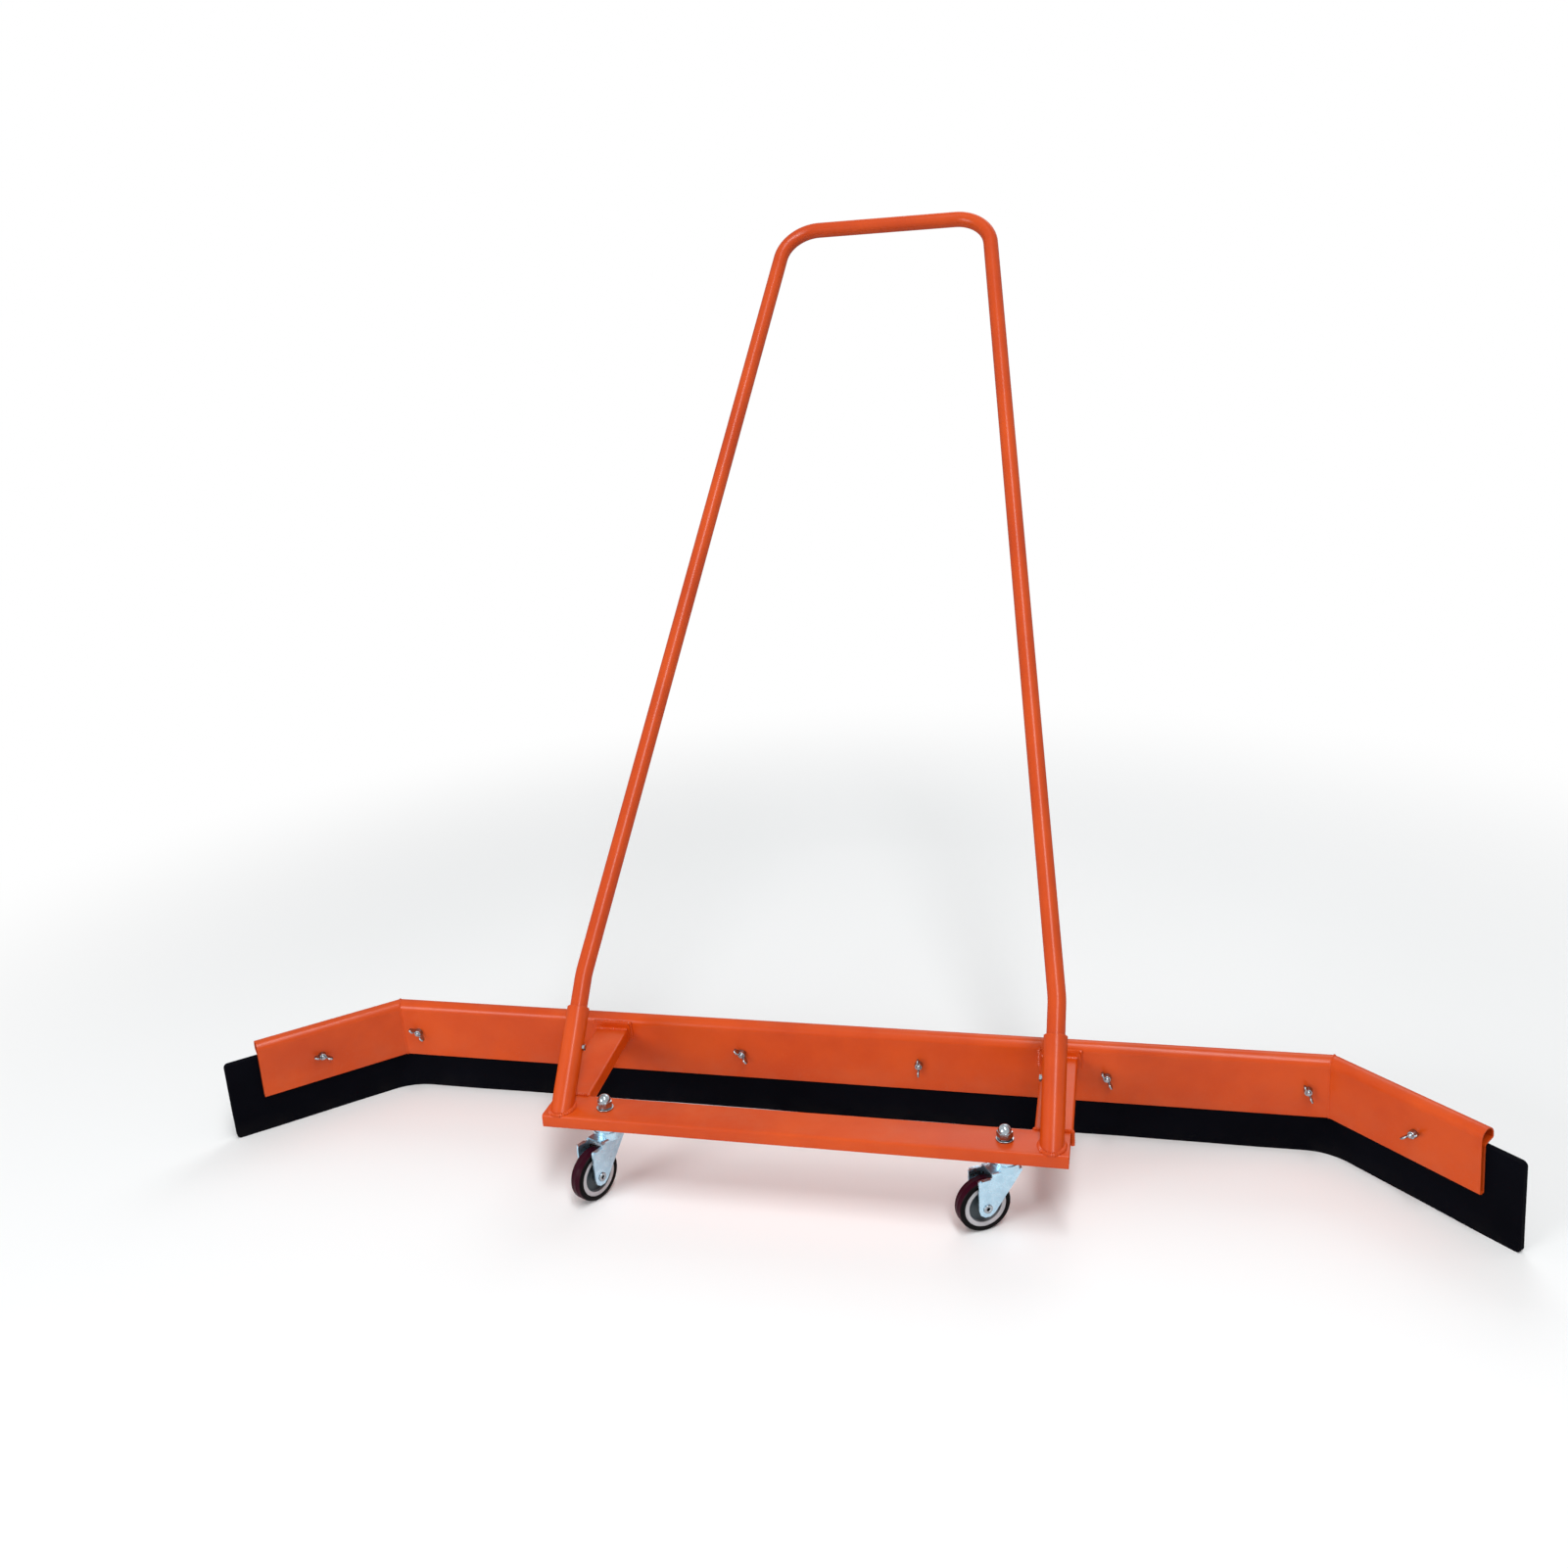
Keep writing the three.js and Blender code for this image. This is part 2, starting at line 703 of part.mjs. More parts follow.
// The fork is one pressed sheet: a yoke folded over the wheel and cut to its side outline, with a
// stepped round crown raised on its bridge and small flanges along the tops of its ears
function forkGeometry() {
  const innerHalf = tyreWidth / 2 + wheelSideClearance;
  const outerHalf = innerHalf + forkSheet;
  const innerBend = forkBendRadius - forkSheet;
  const yoke = roundedShape([
    point(-outerHalf, 0),
    point(-innerHalf, 0),
    point(-innerHalf, bridgeTopZ - forkSheet),
    point(innerHalf, bridgeTopZ - forkSheet),
    point(innerHalf, 0),
    point(outerHalf, 0),
    point(outerHalf, bridgeTopZ),
    point(-outerHalf, bridgeTopZ),
  ], [0, 0, innerBend, innerBend, 0, 0, forkBendRadius, forkBendRadius]);
  const rear = casterTrail + cheekEndRadius;
  const fold = alongX(yoke, -cheekFrontReach - overrun, rear + overrun);

  // The leading edge runs straight from the shoulder to touch the round end about the axle
  const shoulder = point(-cheekFrontReach, bridgeTopZ - forkBendRadius);
  const toAxle = point(casterTrail, wheelRadius).sub(shoulder);
  const slope = toAxle.angle() - Math.asin(cheekEndRadius / toAxle.length());
  const tip = point(rear, shoulder.y + (rear - shoulder.x) * Math.tan(slope));
  const earTopZ = bridgeTopZ - earDrop;
  const earFront = rear - earLength;
  const side = roundedShape([
    shoulder,
    tip,
    point(rear, earTopZ),
    point(earFront, earTopZ),
    point(earFront, bridgeTopZ + overrun),
    point(-cheekFrontReach, bridgeTopZ + overrun),
  ], [0, cheekEndRadius, earCornerRadius, earCornerRadius / 2, 0, 0]);
  const blank = alongY(side, -outerHalf - overrun, outerHalf + overrun);

  const flanges = [-1, 1].map((sign) => {
    const inner = sign * (innerHalf + forkSheet / 2);
    const outer = sign * (outerHalf + earFlange);
    const outline = rectangle(Math.min(inner, outer), earTopZ - forkSheet, Math.max(inner, outer), earTopZ);
    return alongX(new THREE.Shape(outline), earFront + earCornerRadius, rear - earCornerRadius);
  });

  const upper = crownRadius - crownStep;
  const crownFootZ = bridgeTopZ - forkBendRadius;
  const crown = turned([
    point(0, crownFootZ),
    point(crownRadius, crownFootZ),
    point(crownRadius, bridgeTopZ + crownRingHeight),
    point(upper, bridgeTopZ + crownRingHeight),
    point(upper, crownTopZ - crownLipRadius),
    point(upper - crownLipRadius, crownTopZ),
    point(0, crownTopZ),
  ]);
  const inside = rod(innerHalf - fitGap, crownFootZ - overrun, crownTopZ - forkSheet, roundSides);
  const stemHole = rod(stemRadius + fitGap, crownFootZ, crownTopZ + overrun, roundSides);
  const axleHole = rod(axleRadius + fitGap, -outerHalf - overrun, outerHalf + overrun)
    .rotateX(Math.PI / 2)
    .translate(casterTrail, 0, wheelRadius);
  return cut(join(common(fold, blank), crown, ...flanges), inside, stemHole, axleHole);
}

// A hollow rivet flared over both cheeks
function axleGeometry() {
  const cheekFace = tyreWidth / 2 + wheelSideClearance + forkSheet + fitGap;
  const end = cheekFace + axleHeadHeight;
  return turned([
    point(axleBoreRadius, -end),
    point(axleHeadRadius, -end),
    point(axleHeadRadius, -cheekFace),
    point(axleRadius, -cheekFace),
    point(axleRadius, cheekFace),
    point(axleHeadRadius, cheekFace),
    point(axleHeadRadius, end),
    point(axleBoreRadius, end),
  ]).rotateX(Math.PI / 2);
}

// Rim, web and hub in one moulding
function wheelCentreGeometry() {
  const rimOuter = wheelRadius - tyreThickness - fitGap;
  const rimInner = rimOuter - rimThickness;
  const rimHalf = rimWidth / 2;
  const webHalf = wheelWebThickness / 2;
  const hubHalf = tyreWidth / 2 + wheelSideClearance - hubSideClearance;
  const bore = axleRadius + fitGap;
  return turned([
    point(bore, -hubHalf),
    point(hubRadius, -hubHalf),
    point(hubRadius, -webHalf),
    point(rimInner, -webHalf),
    point(rimInner, -rimHalf),
    point(rimOuter, -rimHalf),
    point(rimOuter, rimHalf),
    point(rimInner, rimHalf),
    point(rimInner, webHalf),
    point(hubRadius, webHalf),
    point(hubRadius, hubHalf),
    point(bore, hubHalf),
  ], wheelSides).rotateX(Math.PI / 2);
}

// The flats of the turned tyre, and not its edges, lie at the wheel's true radius
function tyreGeometry() {
  const half = tyreWidth / 2;
  const outer = wheelRadius / Math.cos(Math.PI / wheelSides);
  const corners = rectangle(wheelRadius - tyreThickness, -half, outer, half);
  const outline = roundCorners(corners, [0, tyreShoulderRadius, tyreShoulderRadius, 0]);
  return turned(outline, wheelSides).rotateX(Math.PI / 2);
}

function acornNutGeometry() {
  const dome = Array.from({ length: domeSteps + 1 }, (_, k) => {
    const rise = Math.PI / 2 * k / domeSteps;
    return point(acornDomeRadius * Math.cos(rise), acornHexHeight + acornDomeRadius * Math.sin(rise));
  });
  const cap = turned([point(0, 0), point(acornDomeRadius, 0), ...dome]);
  const socket = rod(stemRadius + fitGap, -overrun, acornSocketDepth, roundSides);
  return cut(join(hexagon(acornWidth, 0, acornHexHeight), cap), socket);
}

function raceGeometry() {
  const top = raceBottomZ + raceThickness;
  return turned([
    point(stemRadius + fitGap, raceBottomZ),
    point(raceRadius - raceEdge, raceBottomZ),
    point(raceRadius, raceBottomZ + raceEdge),
    point(raceRadius, top),
    point(stemRadius + fitGap, top),
  ]);
}

// The stem's rivet head holds the fork's crown from inside
function stemGeometry() {
  const rivetTop = crownTopZ - forkSheet - fitGap;
  const rivetBottom = rivetTop - stemRivetHeight;
  const top = acornBottomZ + acornSocketDepth - acornSocketClearance;
  return turned([
    point(0, rivetBottom),
    point(stemRivetRadius, rivetBottom),
    point(stemRivetRadius, rivetTop),
    point(stemRadius, rivetTop),
    point(stemRadius, top),
    point(0, top),
  ]);
}

function buildCaster(name, side, turn) {
  const mount = new THREE.Group();
  mount.position.set(side * casterX, casterY, 0);
  group.add(mount);
  const washerTopZ = washerBottomZ + casterWasherThickness;
  const washer = ring(stemRadius + fitGap, casterWasherRadius, washerBottomZ, washerTopZ);
  addPiece(mount, `${name}_caster_stem`, stemGeometry(), zinc);
  addPiece(mount, `${name}_caster_race`, raceGeometry(), zinc);
  addPiece(mount, `${name}_caster_washer`, washer, zinc);
  addPiece(mount, `${name}_dome_nut`, acornNutGeometry(), zinc).position.z = acornBottomZ;

  const swivel = new THREE.Group();
  swivel.rotation.z = radians(turn);
  mount.add(swivel);
  addPiece(swivel, `${name}_fork`, forkGeometry(), zinc);

  const axle = new THREE.Group();
  axle.position.set(casterTrail, 0, wheelRadius);
  swivel.add(axle);
  addPiece(axle, `${name}_axle`, axleGeometry(), zinc);

  // Half a step of turn sets a flat of the tyre on the ground
  const wheel = new THREE.Group();
  wheel.rotation.y = Math.PI / wheelSides;
  axle.add(wheel);
  addPiece(wheel, `${name}_wheel_centre`, wheelCentreGeometry(), wheelPlastic);
  addPiece(wheel, `${name}_tyre`, tyreGeometry(), tyreRubber);
}

buildHolder();
buildRubber();
buildClamps();
buildBar();
buildArms();
buildSleeves();
buildHandle();
buildLockBolts();
buildCaster('left', -1, leftCasterTurn);
buildCaster('right', 1, rightCasterTurn);

// The origin is on the ground, under the middle of the whole squeegee
const middle = new THREE.Box3().setFromObject(group, true).getCenter(new THREE.Vector3());
group.position.set(-middle.x, -middle.y, 0);

export default group;
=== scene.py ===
"""A court squeegee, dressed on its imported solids: painted frame, zinc fasteners, rubber and casters.

Metres, +Z up. +X runs along the blade and the blade travels towards -Y.
"""

import logging
import math
from dataclasses import dataclass
from enum import Enum
from typing import Callable, Sequence

import bmesh
import bpy
from mathutils import Matrix, Vector


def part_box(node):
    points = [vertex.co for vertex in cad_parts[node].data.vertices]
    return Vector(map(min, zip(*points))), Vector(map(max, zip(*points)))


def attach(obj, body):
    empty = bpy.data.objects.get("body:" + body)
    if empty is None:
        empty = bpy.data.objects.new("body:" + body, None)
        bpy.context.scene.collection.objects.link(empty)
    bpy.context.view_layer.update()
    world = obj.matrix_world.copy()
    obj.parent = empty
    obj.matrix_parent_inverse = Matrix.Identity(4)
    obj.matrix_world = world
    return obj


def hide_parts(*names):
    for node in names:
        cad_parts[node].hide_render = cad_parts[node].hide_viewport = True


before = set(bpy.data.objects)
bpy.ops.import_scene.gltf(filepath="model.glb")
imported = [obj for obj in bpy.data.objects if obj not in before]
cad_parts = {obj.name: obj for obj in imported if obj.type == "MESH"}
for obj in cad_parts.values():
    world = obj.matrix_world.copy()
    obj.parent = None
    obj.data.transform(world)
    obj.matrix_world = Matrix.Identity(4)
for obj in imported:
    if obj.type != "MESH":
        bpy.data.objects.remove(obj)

LOG = logging.getLogger("court_squeegee")
MM = 0.001
# Points closer together than this are one point.
JOIN_DISTANCE = 1e-6
# Room that is left wherever two pieces fit.
FIT_GAP = 0.3 * MM
# Edges that turn by more degrees than this stay crisp.
SHARP_DEGREES = 35.0
# Edges of the CAD's facets that turn by fewer degrees than this are taken out.
FLAT_DEGREES = 0.4

Colour = tuple[float, float, float, float]
Socket = bpy.types.NodeSocket
Outline = Sequence[Vector]
# A corner of an outline: its place and its rounding.
Corner = tuple[float, float, float]
# A sine wave: its height, how fast it runs and where it starts.
Wave = tuple[float, float, float]


class Slot(Enum):
    """Material slots of the record."""

    PAINT = "orange_paint"
    ZINC = "zinc"
    BLADE_RUBBER = "blade_rubber"
    TYRE = "tyre"
    WHEEL = "wheel_plastic"


class Look(Enum):
    """The finishes, each with its name and its slot in the record."""

    PAINT = ("sprayed_paint", Slot.PAINT)
    PRESSED_ZINC = ("pressed_zinc", Slot.ZINC)
    # The fasteners' zinc is painted darker: a painted reflection of dark surroundings.
    FASTENER_ZINC = ("fastener_zinc", Slot.ZINC)
    BLADE_RUBBER = ("sheet_rubber", Slot.BLADE_RUBBER)
    TYRE = ("tread_rubber", Slot.TYRE)
    WHEEL = ("moulded_wheel", Slot.WHEEL)


class Side(Enum):
    """The two ends of the squeegee, with their sign along X."""

    LEFT = -1
    RIGHT = 1

    @property
    def word(self) -> str:
        """The side's name as the nodes spell it."""
        return self.name.lower()


class Body(Enum):
    """Bodies that move apart, by side where there are two."""

    FRAME = "frame"
    SWIVEL = "swivel"
    WHEEL = "wheel"

    def on(self, side: Side) -> str:
        """The record's name of a body that both sides have."""
        return f"{side.word}_{self.value}"


def smooth_step(share: float) -> float:
    """Eases a share from 0 to 1."""
    held = min(max(share, 0.0), 1.0)
    return held * held * (3 - 2 * held)


def smooth_object(made: bmesh.types.BMesh, mesh: bpy.types.Mesh, sharp: float) -> bpy.types.Object:
    """Writes an edited mesh back and makes a smoothly shaded object of it.

    Args:
        made: The edited mesh, which is freed.
        mesh: The mesh that takes it and gives its name.
        sharp: Edges that turn by more degrees than this stay crisp.

    Returns:
        The new object, linked to the scene.
    """
    made.to_mesh(mesh)
    made.free()
    # Normals that a CAD mesh brings along would keep its old shading.
    for attribute in [a for a in mesh.attributes if a.name == "custom_normal"]:
        mesh.attributes.remove(attribute)
    mesh.shade_smooth()
    mesh.set_sharp_from_angle(angle=math.radians(sharp))
    piece = bpy.data.objects.new(mesh.name, mesh)
    bpy.context.scene.collection.objects.link(piece)
    return piece


def wave_sum(waves: Sequence[Wave], at: float) -> float:
    """The sum of sine waves at one place."""
    return sum(height * math.sin(at * pace + start) for height, pace, start in waves)


def full_turn(steps: int) -> list[float]:
    """The angles of even steps once round."""
    return [2 * math.pi * i / steps for i in range(steps)]


def headings(places: Outline, i: int) -> tuple[Vector, Vector]:
    """The directions in which a closed outline comes to a corner and leaves it."""
    arrive = (places[i] - places[i - 1]).normalized()
    leave = (places[(i + 1) % len(places)] - places[i]).normalized()
    return arrive, leave


def round_outline(corners: Sequence[Corner], steps: int) -> list[Vector]:
    """Rounds the corners of a closed flat outline.

    Args:
        corners: The outline's corners, in order; a rounding of 0 keeps the corner.
        steps: Straight pieces along each rounded corner.

    Returns:
        The points of the rounded outline, with no two together.
    """
    places = [Vector((x, y)) for x, y, _ in corners]
    rounded: list[Vector] = []
    for i, (_, _, radius) in enumerate(corners):
        if radius <= 0:
            rounded.append(places[i])
            continue
        arrive, leave = headings(places, i)
        turn = math.atan2(arrive.x * leave.y - arrive.y * leave.x, arrive.dot(leave))
        start = places[i] - arrive * radius * math.tan(abs(turn) / 2)
        left = Vector((-arrive.y, arrive.x))
        centre = start + left * math.copysign(radius, turn)
        for k in range(steps + 1):
            spin = Matrix.Rotation(turn * k / steps, 2)
            rounded.append(centre + spin @ (start - centre))
    return [p for i, p in enumerate(rounded) if (p - rounded[i - 1]).length > JOIN_DISTANCE]


def inset_outline(corners: Sequence[Corner], distance: float) -> list[Corner]:
    """Moves every side of an anticlockwise outline inwards by the same distance."""
    places = [Vector((x, y)) for x, y, _ in corners]
    moved = []
    for i, (_, _, radius) in enumerate(corners):
        arrive, leave = headings(places, i)
        inward = Vector((-arrive.y - leave.y, arrive.x + leave.x))
        spot = places[i] + inward * (2 * distance / inward.length_squared)
        moved.append((spot.x, spot.y, radius))
    return moved


@dataclass
class Shell:
    """Points and faces of a mesh that is being made."""

    points: list[Vector]
    faces: list[tuple[int, ...]]

    def moved(self, matrix: Matrix) -> "Shell":
        """The same shell carried by a matrix."""
        return Shell([matrix @ p for p in self.points], list(self.faces))

    def __add__(self, other: "Shell") -> "Shell":
        """Both shells as one."""
        start = len(self.points)
        faces = self.faces + [tuple(i + start for i in face) for face in other.faces]
        return Shell(self.points + other.points, faces)

    def piece(self, name: str, sharp: float = SHARP_DEGREES) -> bpy.types.Object:
        """Makes a smoothly shaded object of the shell.

        Args:
            name: The object's name.
            sharp: Edges that turn by more degrees than this stay crisp.

        Returns:
            The new object, linked to the scene.
        """
        mesh = bpy.data.meshes.new(name)
        mesh.from_pydata([p[:] for p in self.points], [], self.faces)
        made = bmesh.new()
        made.from_mesh(mesh)
        bmesh.ops.remove_doubles(made, verts=made.verts, dist=JOIN_DISTANCE)
        bmesh.ops.recalc_face_normals(made, faces=made.faces)
        return smooth_object(made, mesh, sharp)


def skin(rings: Sequence[Sequence[Vector]], closed: bool = False, capped: bool = False) -> Shell:
    """Skins rings of the same count of points into a shell.

    Args:
        rings: The rings, in order.
        closed: Joins the last ring to the first.
        capped: Closes both ends with a face.

    Returns:
        The skinned shell.
    """
    count = len(rings[0])
    points = [p for ring in rings for p in ring]
    faces: list[tuple[int, ...]] = []
    for i in range(len(rings) if closed else len(rings) - 1):
        here = i * count
        there = (i + 1) % len(rings) * count
        for j in range(count):
            k = (j + 1) % count
            faces.append((here + j, here + k, there + k, there + j))
    if capped:
        last = (len(rings) - 1) * count
        faces.append(tuple(range(count))[::-1])
        faces.append(tuple(last + j for j in range(count)))
    return Shell(points, faces)


def lathe(profile: Outline, sides: int) -> Shell:
    """Turns a closed (radius, height) outline about Z.

    Args:
        profile: The outline; points on the axis close the body there.
        sides: Count of steps round the axis.

    Returns:
        The turned shell.
    """
    rings = [
        [Vector((p.x * math.cos(turn), p.x * math.sin(turn), p.y)) for p in profile]
        for turn in full_turn(sides)
    ]
    return skin(rings, closed=True)


def turned_pair(upper: Sequence[Corner], steps: int, sides: int) -> Shell:
    """Turns a ring that is alike above and below z = 0.

    Args:
        upper: The corners of its upper half, as radius and height, from outside to inside.
        steps: Straight pieces along each rounded corner.
        sides: Count of steps round the axis.

    Returns:
        The turned shell.
    """
    lower = [(radius, -height, eased) for radius, height, eased in reversed(upper)]
    return lathe(round_outline(list(upper) + lower, steps), sides)


def washer_ring(inner: float, outer: float, low: float, high: float, sides: int) -> Shell:
    """A washer with eased outer edges."""
    ease = 0.4 * MM
    corners = [(inner, low, 0), (outer, low, ease), (outer, high, ease), (inner, high, 0)]
    return lathe(round_outline(corners, steps=3), sides)


def hexagon_body(across_flats: float, low: float, high: float) -> Shell:
    """A hexagon whose corners are turned off at both ends, as on a nut or bolt head.

    Args:
        across_flats: Distance between opposite flats.
        low: Height of one end.
        high: Height of the other end.

    Returns:
        The hexagon's shell.
    """
    steps, face_share, chamfer_share = 8, 0.97, 0.55
    reach = across_flats / math.sqrt(3)
    turned = across_flats / 2 * face_share
    corners = [Vector((reach * math.cos(turn), reach * math.sin(turn))) for turn in full_turn(6)]
    rings: list[list[Vector]] = [[], [], [], []]
    for i, corner in enumerate(corners):
        for p in (corner.lerp(corners[(i + 1) % 6], k / steps) for k in range(steps)):
            drop = (p.length - turned) * chamfer_share
            drawn = p * (turned / p.length)
            levels = ((drawn, low), (p, low + drop), (p, high - drop), (drawn, high))
            for ring, (spot, height) in zip(rings, levels):
                ring.append(Vector((spot.x, spot.y, height)))
    return skin(rings, capped=True)


def rings_along(places: Outline, radii: Sequence[float], sides: int, closed: bool) -> list[list[Vector]]:
    """Carries a circle along a path, with no twist between its steps.

    Args:
        places: The path's points.
        radii: The circle's radius at each point.
        sides: Count of sides round the circle.
        closed: Whether the path comes back to its start.

    Returns:
        The circle's points at each of the path's points.
    """
    count = len(places)
    rings = []
    across: Vector | None = None
    for i, place in enumerate(places):
        before = places[i - 1] if closed or i > 0 else place
        after = places[(i + 1) % count] if closed or i + 1 < count else place
        heading = (after - before).normalized()
        if across is None:
            across = heading.orthogonal()
        across = (across - heading * across.dot(heading)).normalized()
        other = heading.cross(across)
        arms = [across * math.cos(turn) + other * math.sin(turn) for turn in full_turn(sides)]
        rings.append([place + arm * radii[i] for arm in arms])
    return rings


@dataclass(frozen=True)
class WeldBead:
    """A hand-laid weld: a small rippled bead whose radius wanders along its seam."""

    radius: float = 1.5 * MM
    ripple_pitch: float = 2.2 * MM
    ripple_share: float = 0.16
    sides: int = 8
    steps_per_ripple: int = 3
    wander: tuple[Wave, ...] = ((0.08, 0.37, 0.0), (0.06, 0.113, 1.3))

    def along(self, corners: Outline, closed: bool = False) -> Shell:
        """Lays the bead along straight runs between corners.

        Args:
            corners: The seam's corners.
            closed: Whether the seam comes back to its start.

        Returns:
            The bead's shell.
        """
        places: list[Vector] = []
        ends = list(corners) + ([corners[0]] if closed else [])
        step = self.ripple_pitch / self.steps_per_ripple
        for start, end in zip(ends, ends[1:]):
            count = max(1, round((end - start).length / step))
            places += [start.lerp(end, k / count) for k in range(count)]
        if not closed:
            places.append(ends[-1].copy())
        phase = 2 * math.pi / self.steps_per_ripple
        radii = [
            self.radius * (1 + self.ripple_share * math.sin(i * phase) + wave_sum(self.wander, i))
            for i in range(len(places))
        ]
        return skin(rings_along(places, radii, self.sides, closed), closed=closed, capped=not closed)


class Wiring:
    """Adds nodes to a shader tree and joins their sockets."""

    def __init__(self, tree: bpy.types.NodeTree) -> None:
        """Keeps the tree that is wired."""
        self.tree = tree

    def feed(self, socket: Socket, value: object) -> None:
        """Links a socket to another one, or sets its own value."""
        if isinstance(value, bpy.types.NodeSocket):
            self.tree.links.new(value, socket)
        else:
            socket.default_value = value

    def node(
        self, kind: str, inputs: dict[str | int, object] | None = None, **settings: object
    ) -> bpy.types.Node:
        """Adds a node.

        Args:
            kind: The node's type name.
            inputs: Values or sockets for its inputs, by name or place.
            settings: Properties of the node.

        Returns:
            The new node.
        """
        made = self.tree.nodes.new(kind)
        for name, value in settings.items():
            setattr(made, name, value)
        for name, value in (inputs or {}).items():
            self.feed(made.inputs[name], value)
        return made

    def math(self, operation: str, *values: object, clamped: bool = False) -> Socket:
        """Adds a Math node and returns its result."""
        inputs = dict(enumerate(values))
        made = self.node("ShaderNodeMath", inputs, operation=operation, use_clamp=clamped)
        return made.outputs[0]

    def product(self, first: object, *others: object) -> Socket:
        """Multiplies values one after another."""
        for other in others:
            first = self.math("MULTIPLY", first, other)
        return first

    def mix(self, factor: object, first: object, second: object) -> Socket:
        """Mixes two colours by a factor, through the sockets that the Mix node keeps for colours."""
        made = self.node("ShaderNodeMix", {0: factor, 6: first, 7: second}, data_type="RGBA")
        return made.outputs[2]

    def ramp(self, value: object, low: float, high: float, start: float = 0.0, end: float = 1.0) -> Socket:
        """Carries a value smoothly from one range to another, and holds it there."""
        inputs = {0: value, 1: low, 2: high, 3: start, 4: end}
        return self.node("ShaderNodeMapRange", inputs, interpolation_type="SMOOTHSTEP").outputs[0]

    def noise(self, vector: object, scale: object, detail: float = 3.0, roughness: float = 0.55) -> Socket:
        """Adds a Noise texture and returns its factor."""
        inputs = {"Vector": vector, "Scale": scale, "Detail": detail, "Roughness": roughness}
        return self.node("ShaderNodeTexNoise", inputs).outputs[0]

    def places(self) -> Socket:
        """The surface's place on its piece, in metres."""
        return self.node("ShaderNodeTexCoord").outputs["Object"]


class EffectGroup(Wiring):
    """A shader node group with named inputs and outputs."""

    def __init__(self, name: str) -> None:
        """Starts an empty group."""
        super().__init__(bpy.data.node_groups.new(name, "ShaderNodeTree"))
        self.entry = self.tree.nodes.new("NodeGroupInput")
        self.exit = self.tree.nodes.new("NodeGroupOutput")

    def takes(self, name: str, value: float) -> Socket:
        """Adds a number input and returns its socket inside the group."""
        made = self.tree.interface.new_socket(name=name, in_out="INPUT", socket_type="NodeSocketFloat")
        made.default_value = value
        return self.entry.outputs[name]

    def gives(self, name: str, value: Socket) -> None:
        """Adds a number output that carries a value out of the group."""
        self.tree.interface.new_socket(name=name, in_out="OUTPUT", socket_type="NodeSocketFloat")
        self.tree.links.new(value, self.exit.inputs[name])


class Effects:
    """The effects that several finishes share, each built once."""

    def __init__(self) -> None:
        """Builds every group."""
        self.painted_edge_highlight = self.build_painted_edge_highlight()
        self.grain = self.build_grain()
        self.dust = self.build_dust()
        self.scratches = self.build_scratches()

    def build_painted_edge_highlight(self) -> bpy.types.NodeTree:
        """Marks outer edges, broken up by noise, where the paint takes a painted highlight."""
        group = EffectGroup("painted_edge_highlight")
        radius = group.takes("Wear Radius", 0.001)
        amount = group.takes("Wear Amount", 0.5)
        rounded = group.node("ShaderNodeBevel", {"Radius": radius}, samples=4).outputs[0]
        flat = group.node("ShaderNodeNewGeometry").outputs["Normal"]
        meeting = group.node("ShaderNodeVectorMath", {0: rounded, 1: flat}, operation="DOT_PRODUCT")
        turned = group.ramp(meeting.outputs["Value"], low=0.985, high=0.86)
        patches = group.ramp(group.noise(group.places(), scale=90.0, detail=4.0), low=0.35, high=0.65)
        group.gives("Mask", group.product(turned, patches, amount))
        return group.tree

    def build_grain(self) -> bpy.types.NodeTree:
        """Fine relief and broad mottling."""
        group = EffectGroup("surface_grain")
        fine = group.takes("Fine Scale", 900.0)
        broad = group.takes("Broad Scale", 9.0)
        places = group.places()
        group.gives("Height", group.noise(places, fine, detail=2.0))
        mottle = group.noise(places, broad, detail=5.0, roughness=0.6)
        group.gives("Mottle", group.ramp(mottle, low=0.3, high=0.7))
        return group.tree

    def build_dust(self) -> bpy.types.NodeTree:
        """Dust that settles on what faces up, and court dirt low down."""
        group = EffectGroup("court_dust")
        settled = group.takes("Settled", 0.3)
        splashed = group.takes("Splashed", 0.3)
        reach = group.takes("Splash Height", 0.12)
        places = group.places()
        up = group.node("ShaderNodeSeparateXYZ", {0: group.node("ShaderNodeNewGeometry").outputs["Normal"]})
        height = group.node("ShaderNodeSeparateXYZ", {0: places}).outputs[2]
        level = group.ramp(up.outputs[2], low=0.55, high=1.0)
        low = group.math("SUBTRACT", 1.0, group.math("DIVIDE", height, reach), clamped=True)
        clouds = group.ramp(group.noise(places, scale=22.0, detail=6.0, roughness=0.65), low=0.38, high=0.7)
        specks = group.ramp(group.noise(places, scale=260.0, detail=2.0), low=0.55, high=0.7)
        top = group.product(level, clouds, settled)
        lower = group.product(low, group.math("MAXIMUM", clouds, specks), splashed)
        group.gives("Mask", group.math("MAXIMUM", top, lower))
        return group.tree

    def build_scratches(self) -> bpy.types.NodeTree:
        """Fine scratches that run in two directions."""
        group = EffectGroup("fine_scratches")
        scale = group.takes("Scratch Scale", 60.0)
        places = group.places()
        lines = []
        for turn in ((0.3, 0.1, 0.5), (1.2, 0.8, 2.0)):
            inputs = {"Vector": places, "Rotation": turn, "Scale": (1.0, 14.0, 1.0)}
            stretched = group.node("ShaderNodeMapping", inputs).outputs[0]
            streaks = group.noise(stretched, scale, detail=4.0, roughness=0.7)
            lines.append(group.ramp(streaks, low=0.58, high=0.72))
        group.gives("Mask", group.math("MAXIMUM", *lines))
        return group.tree


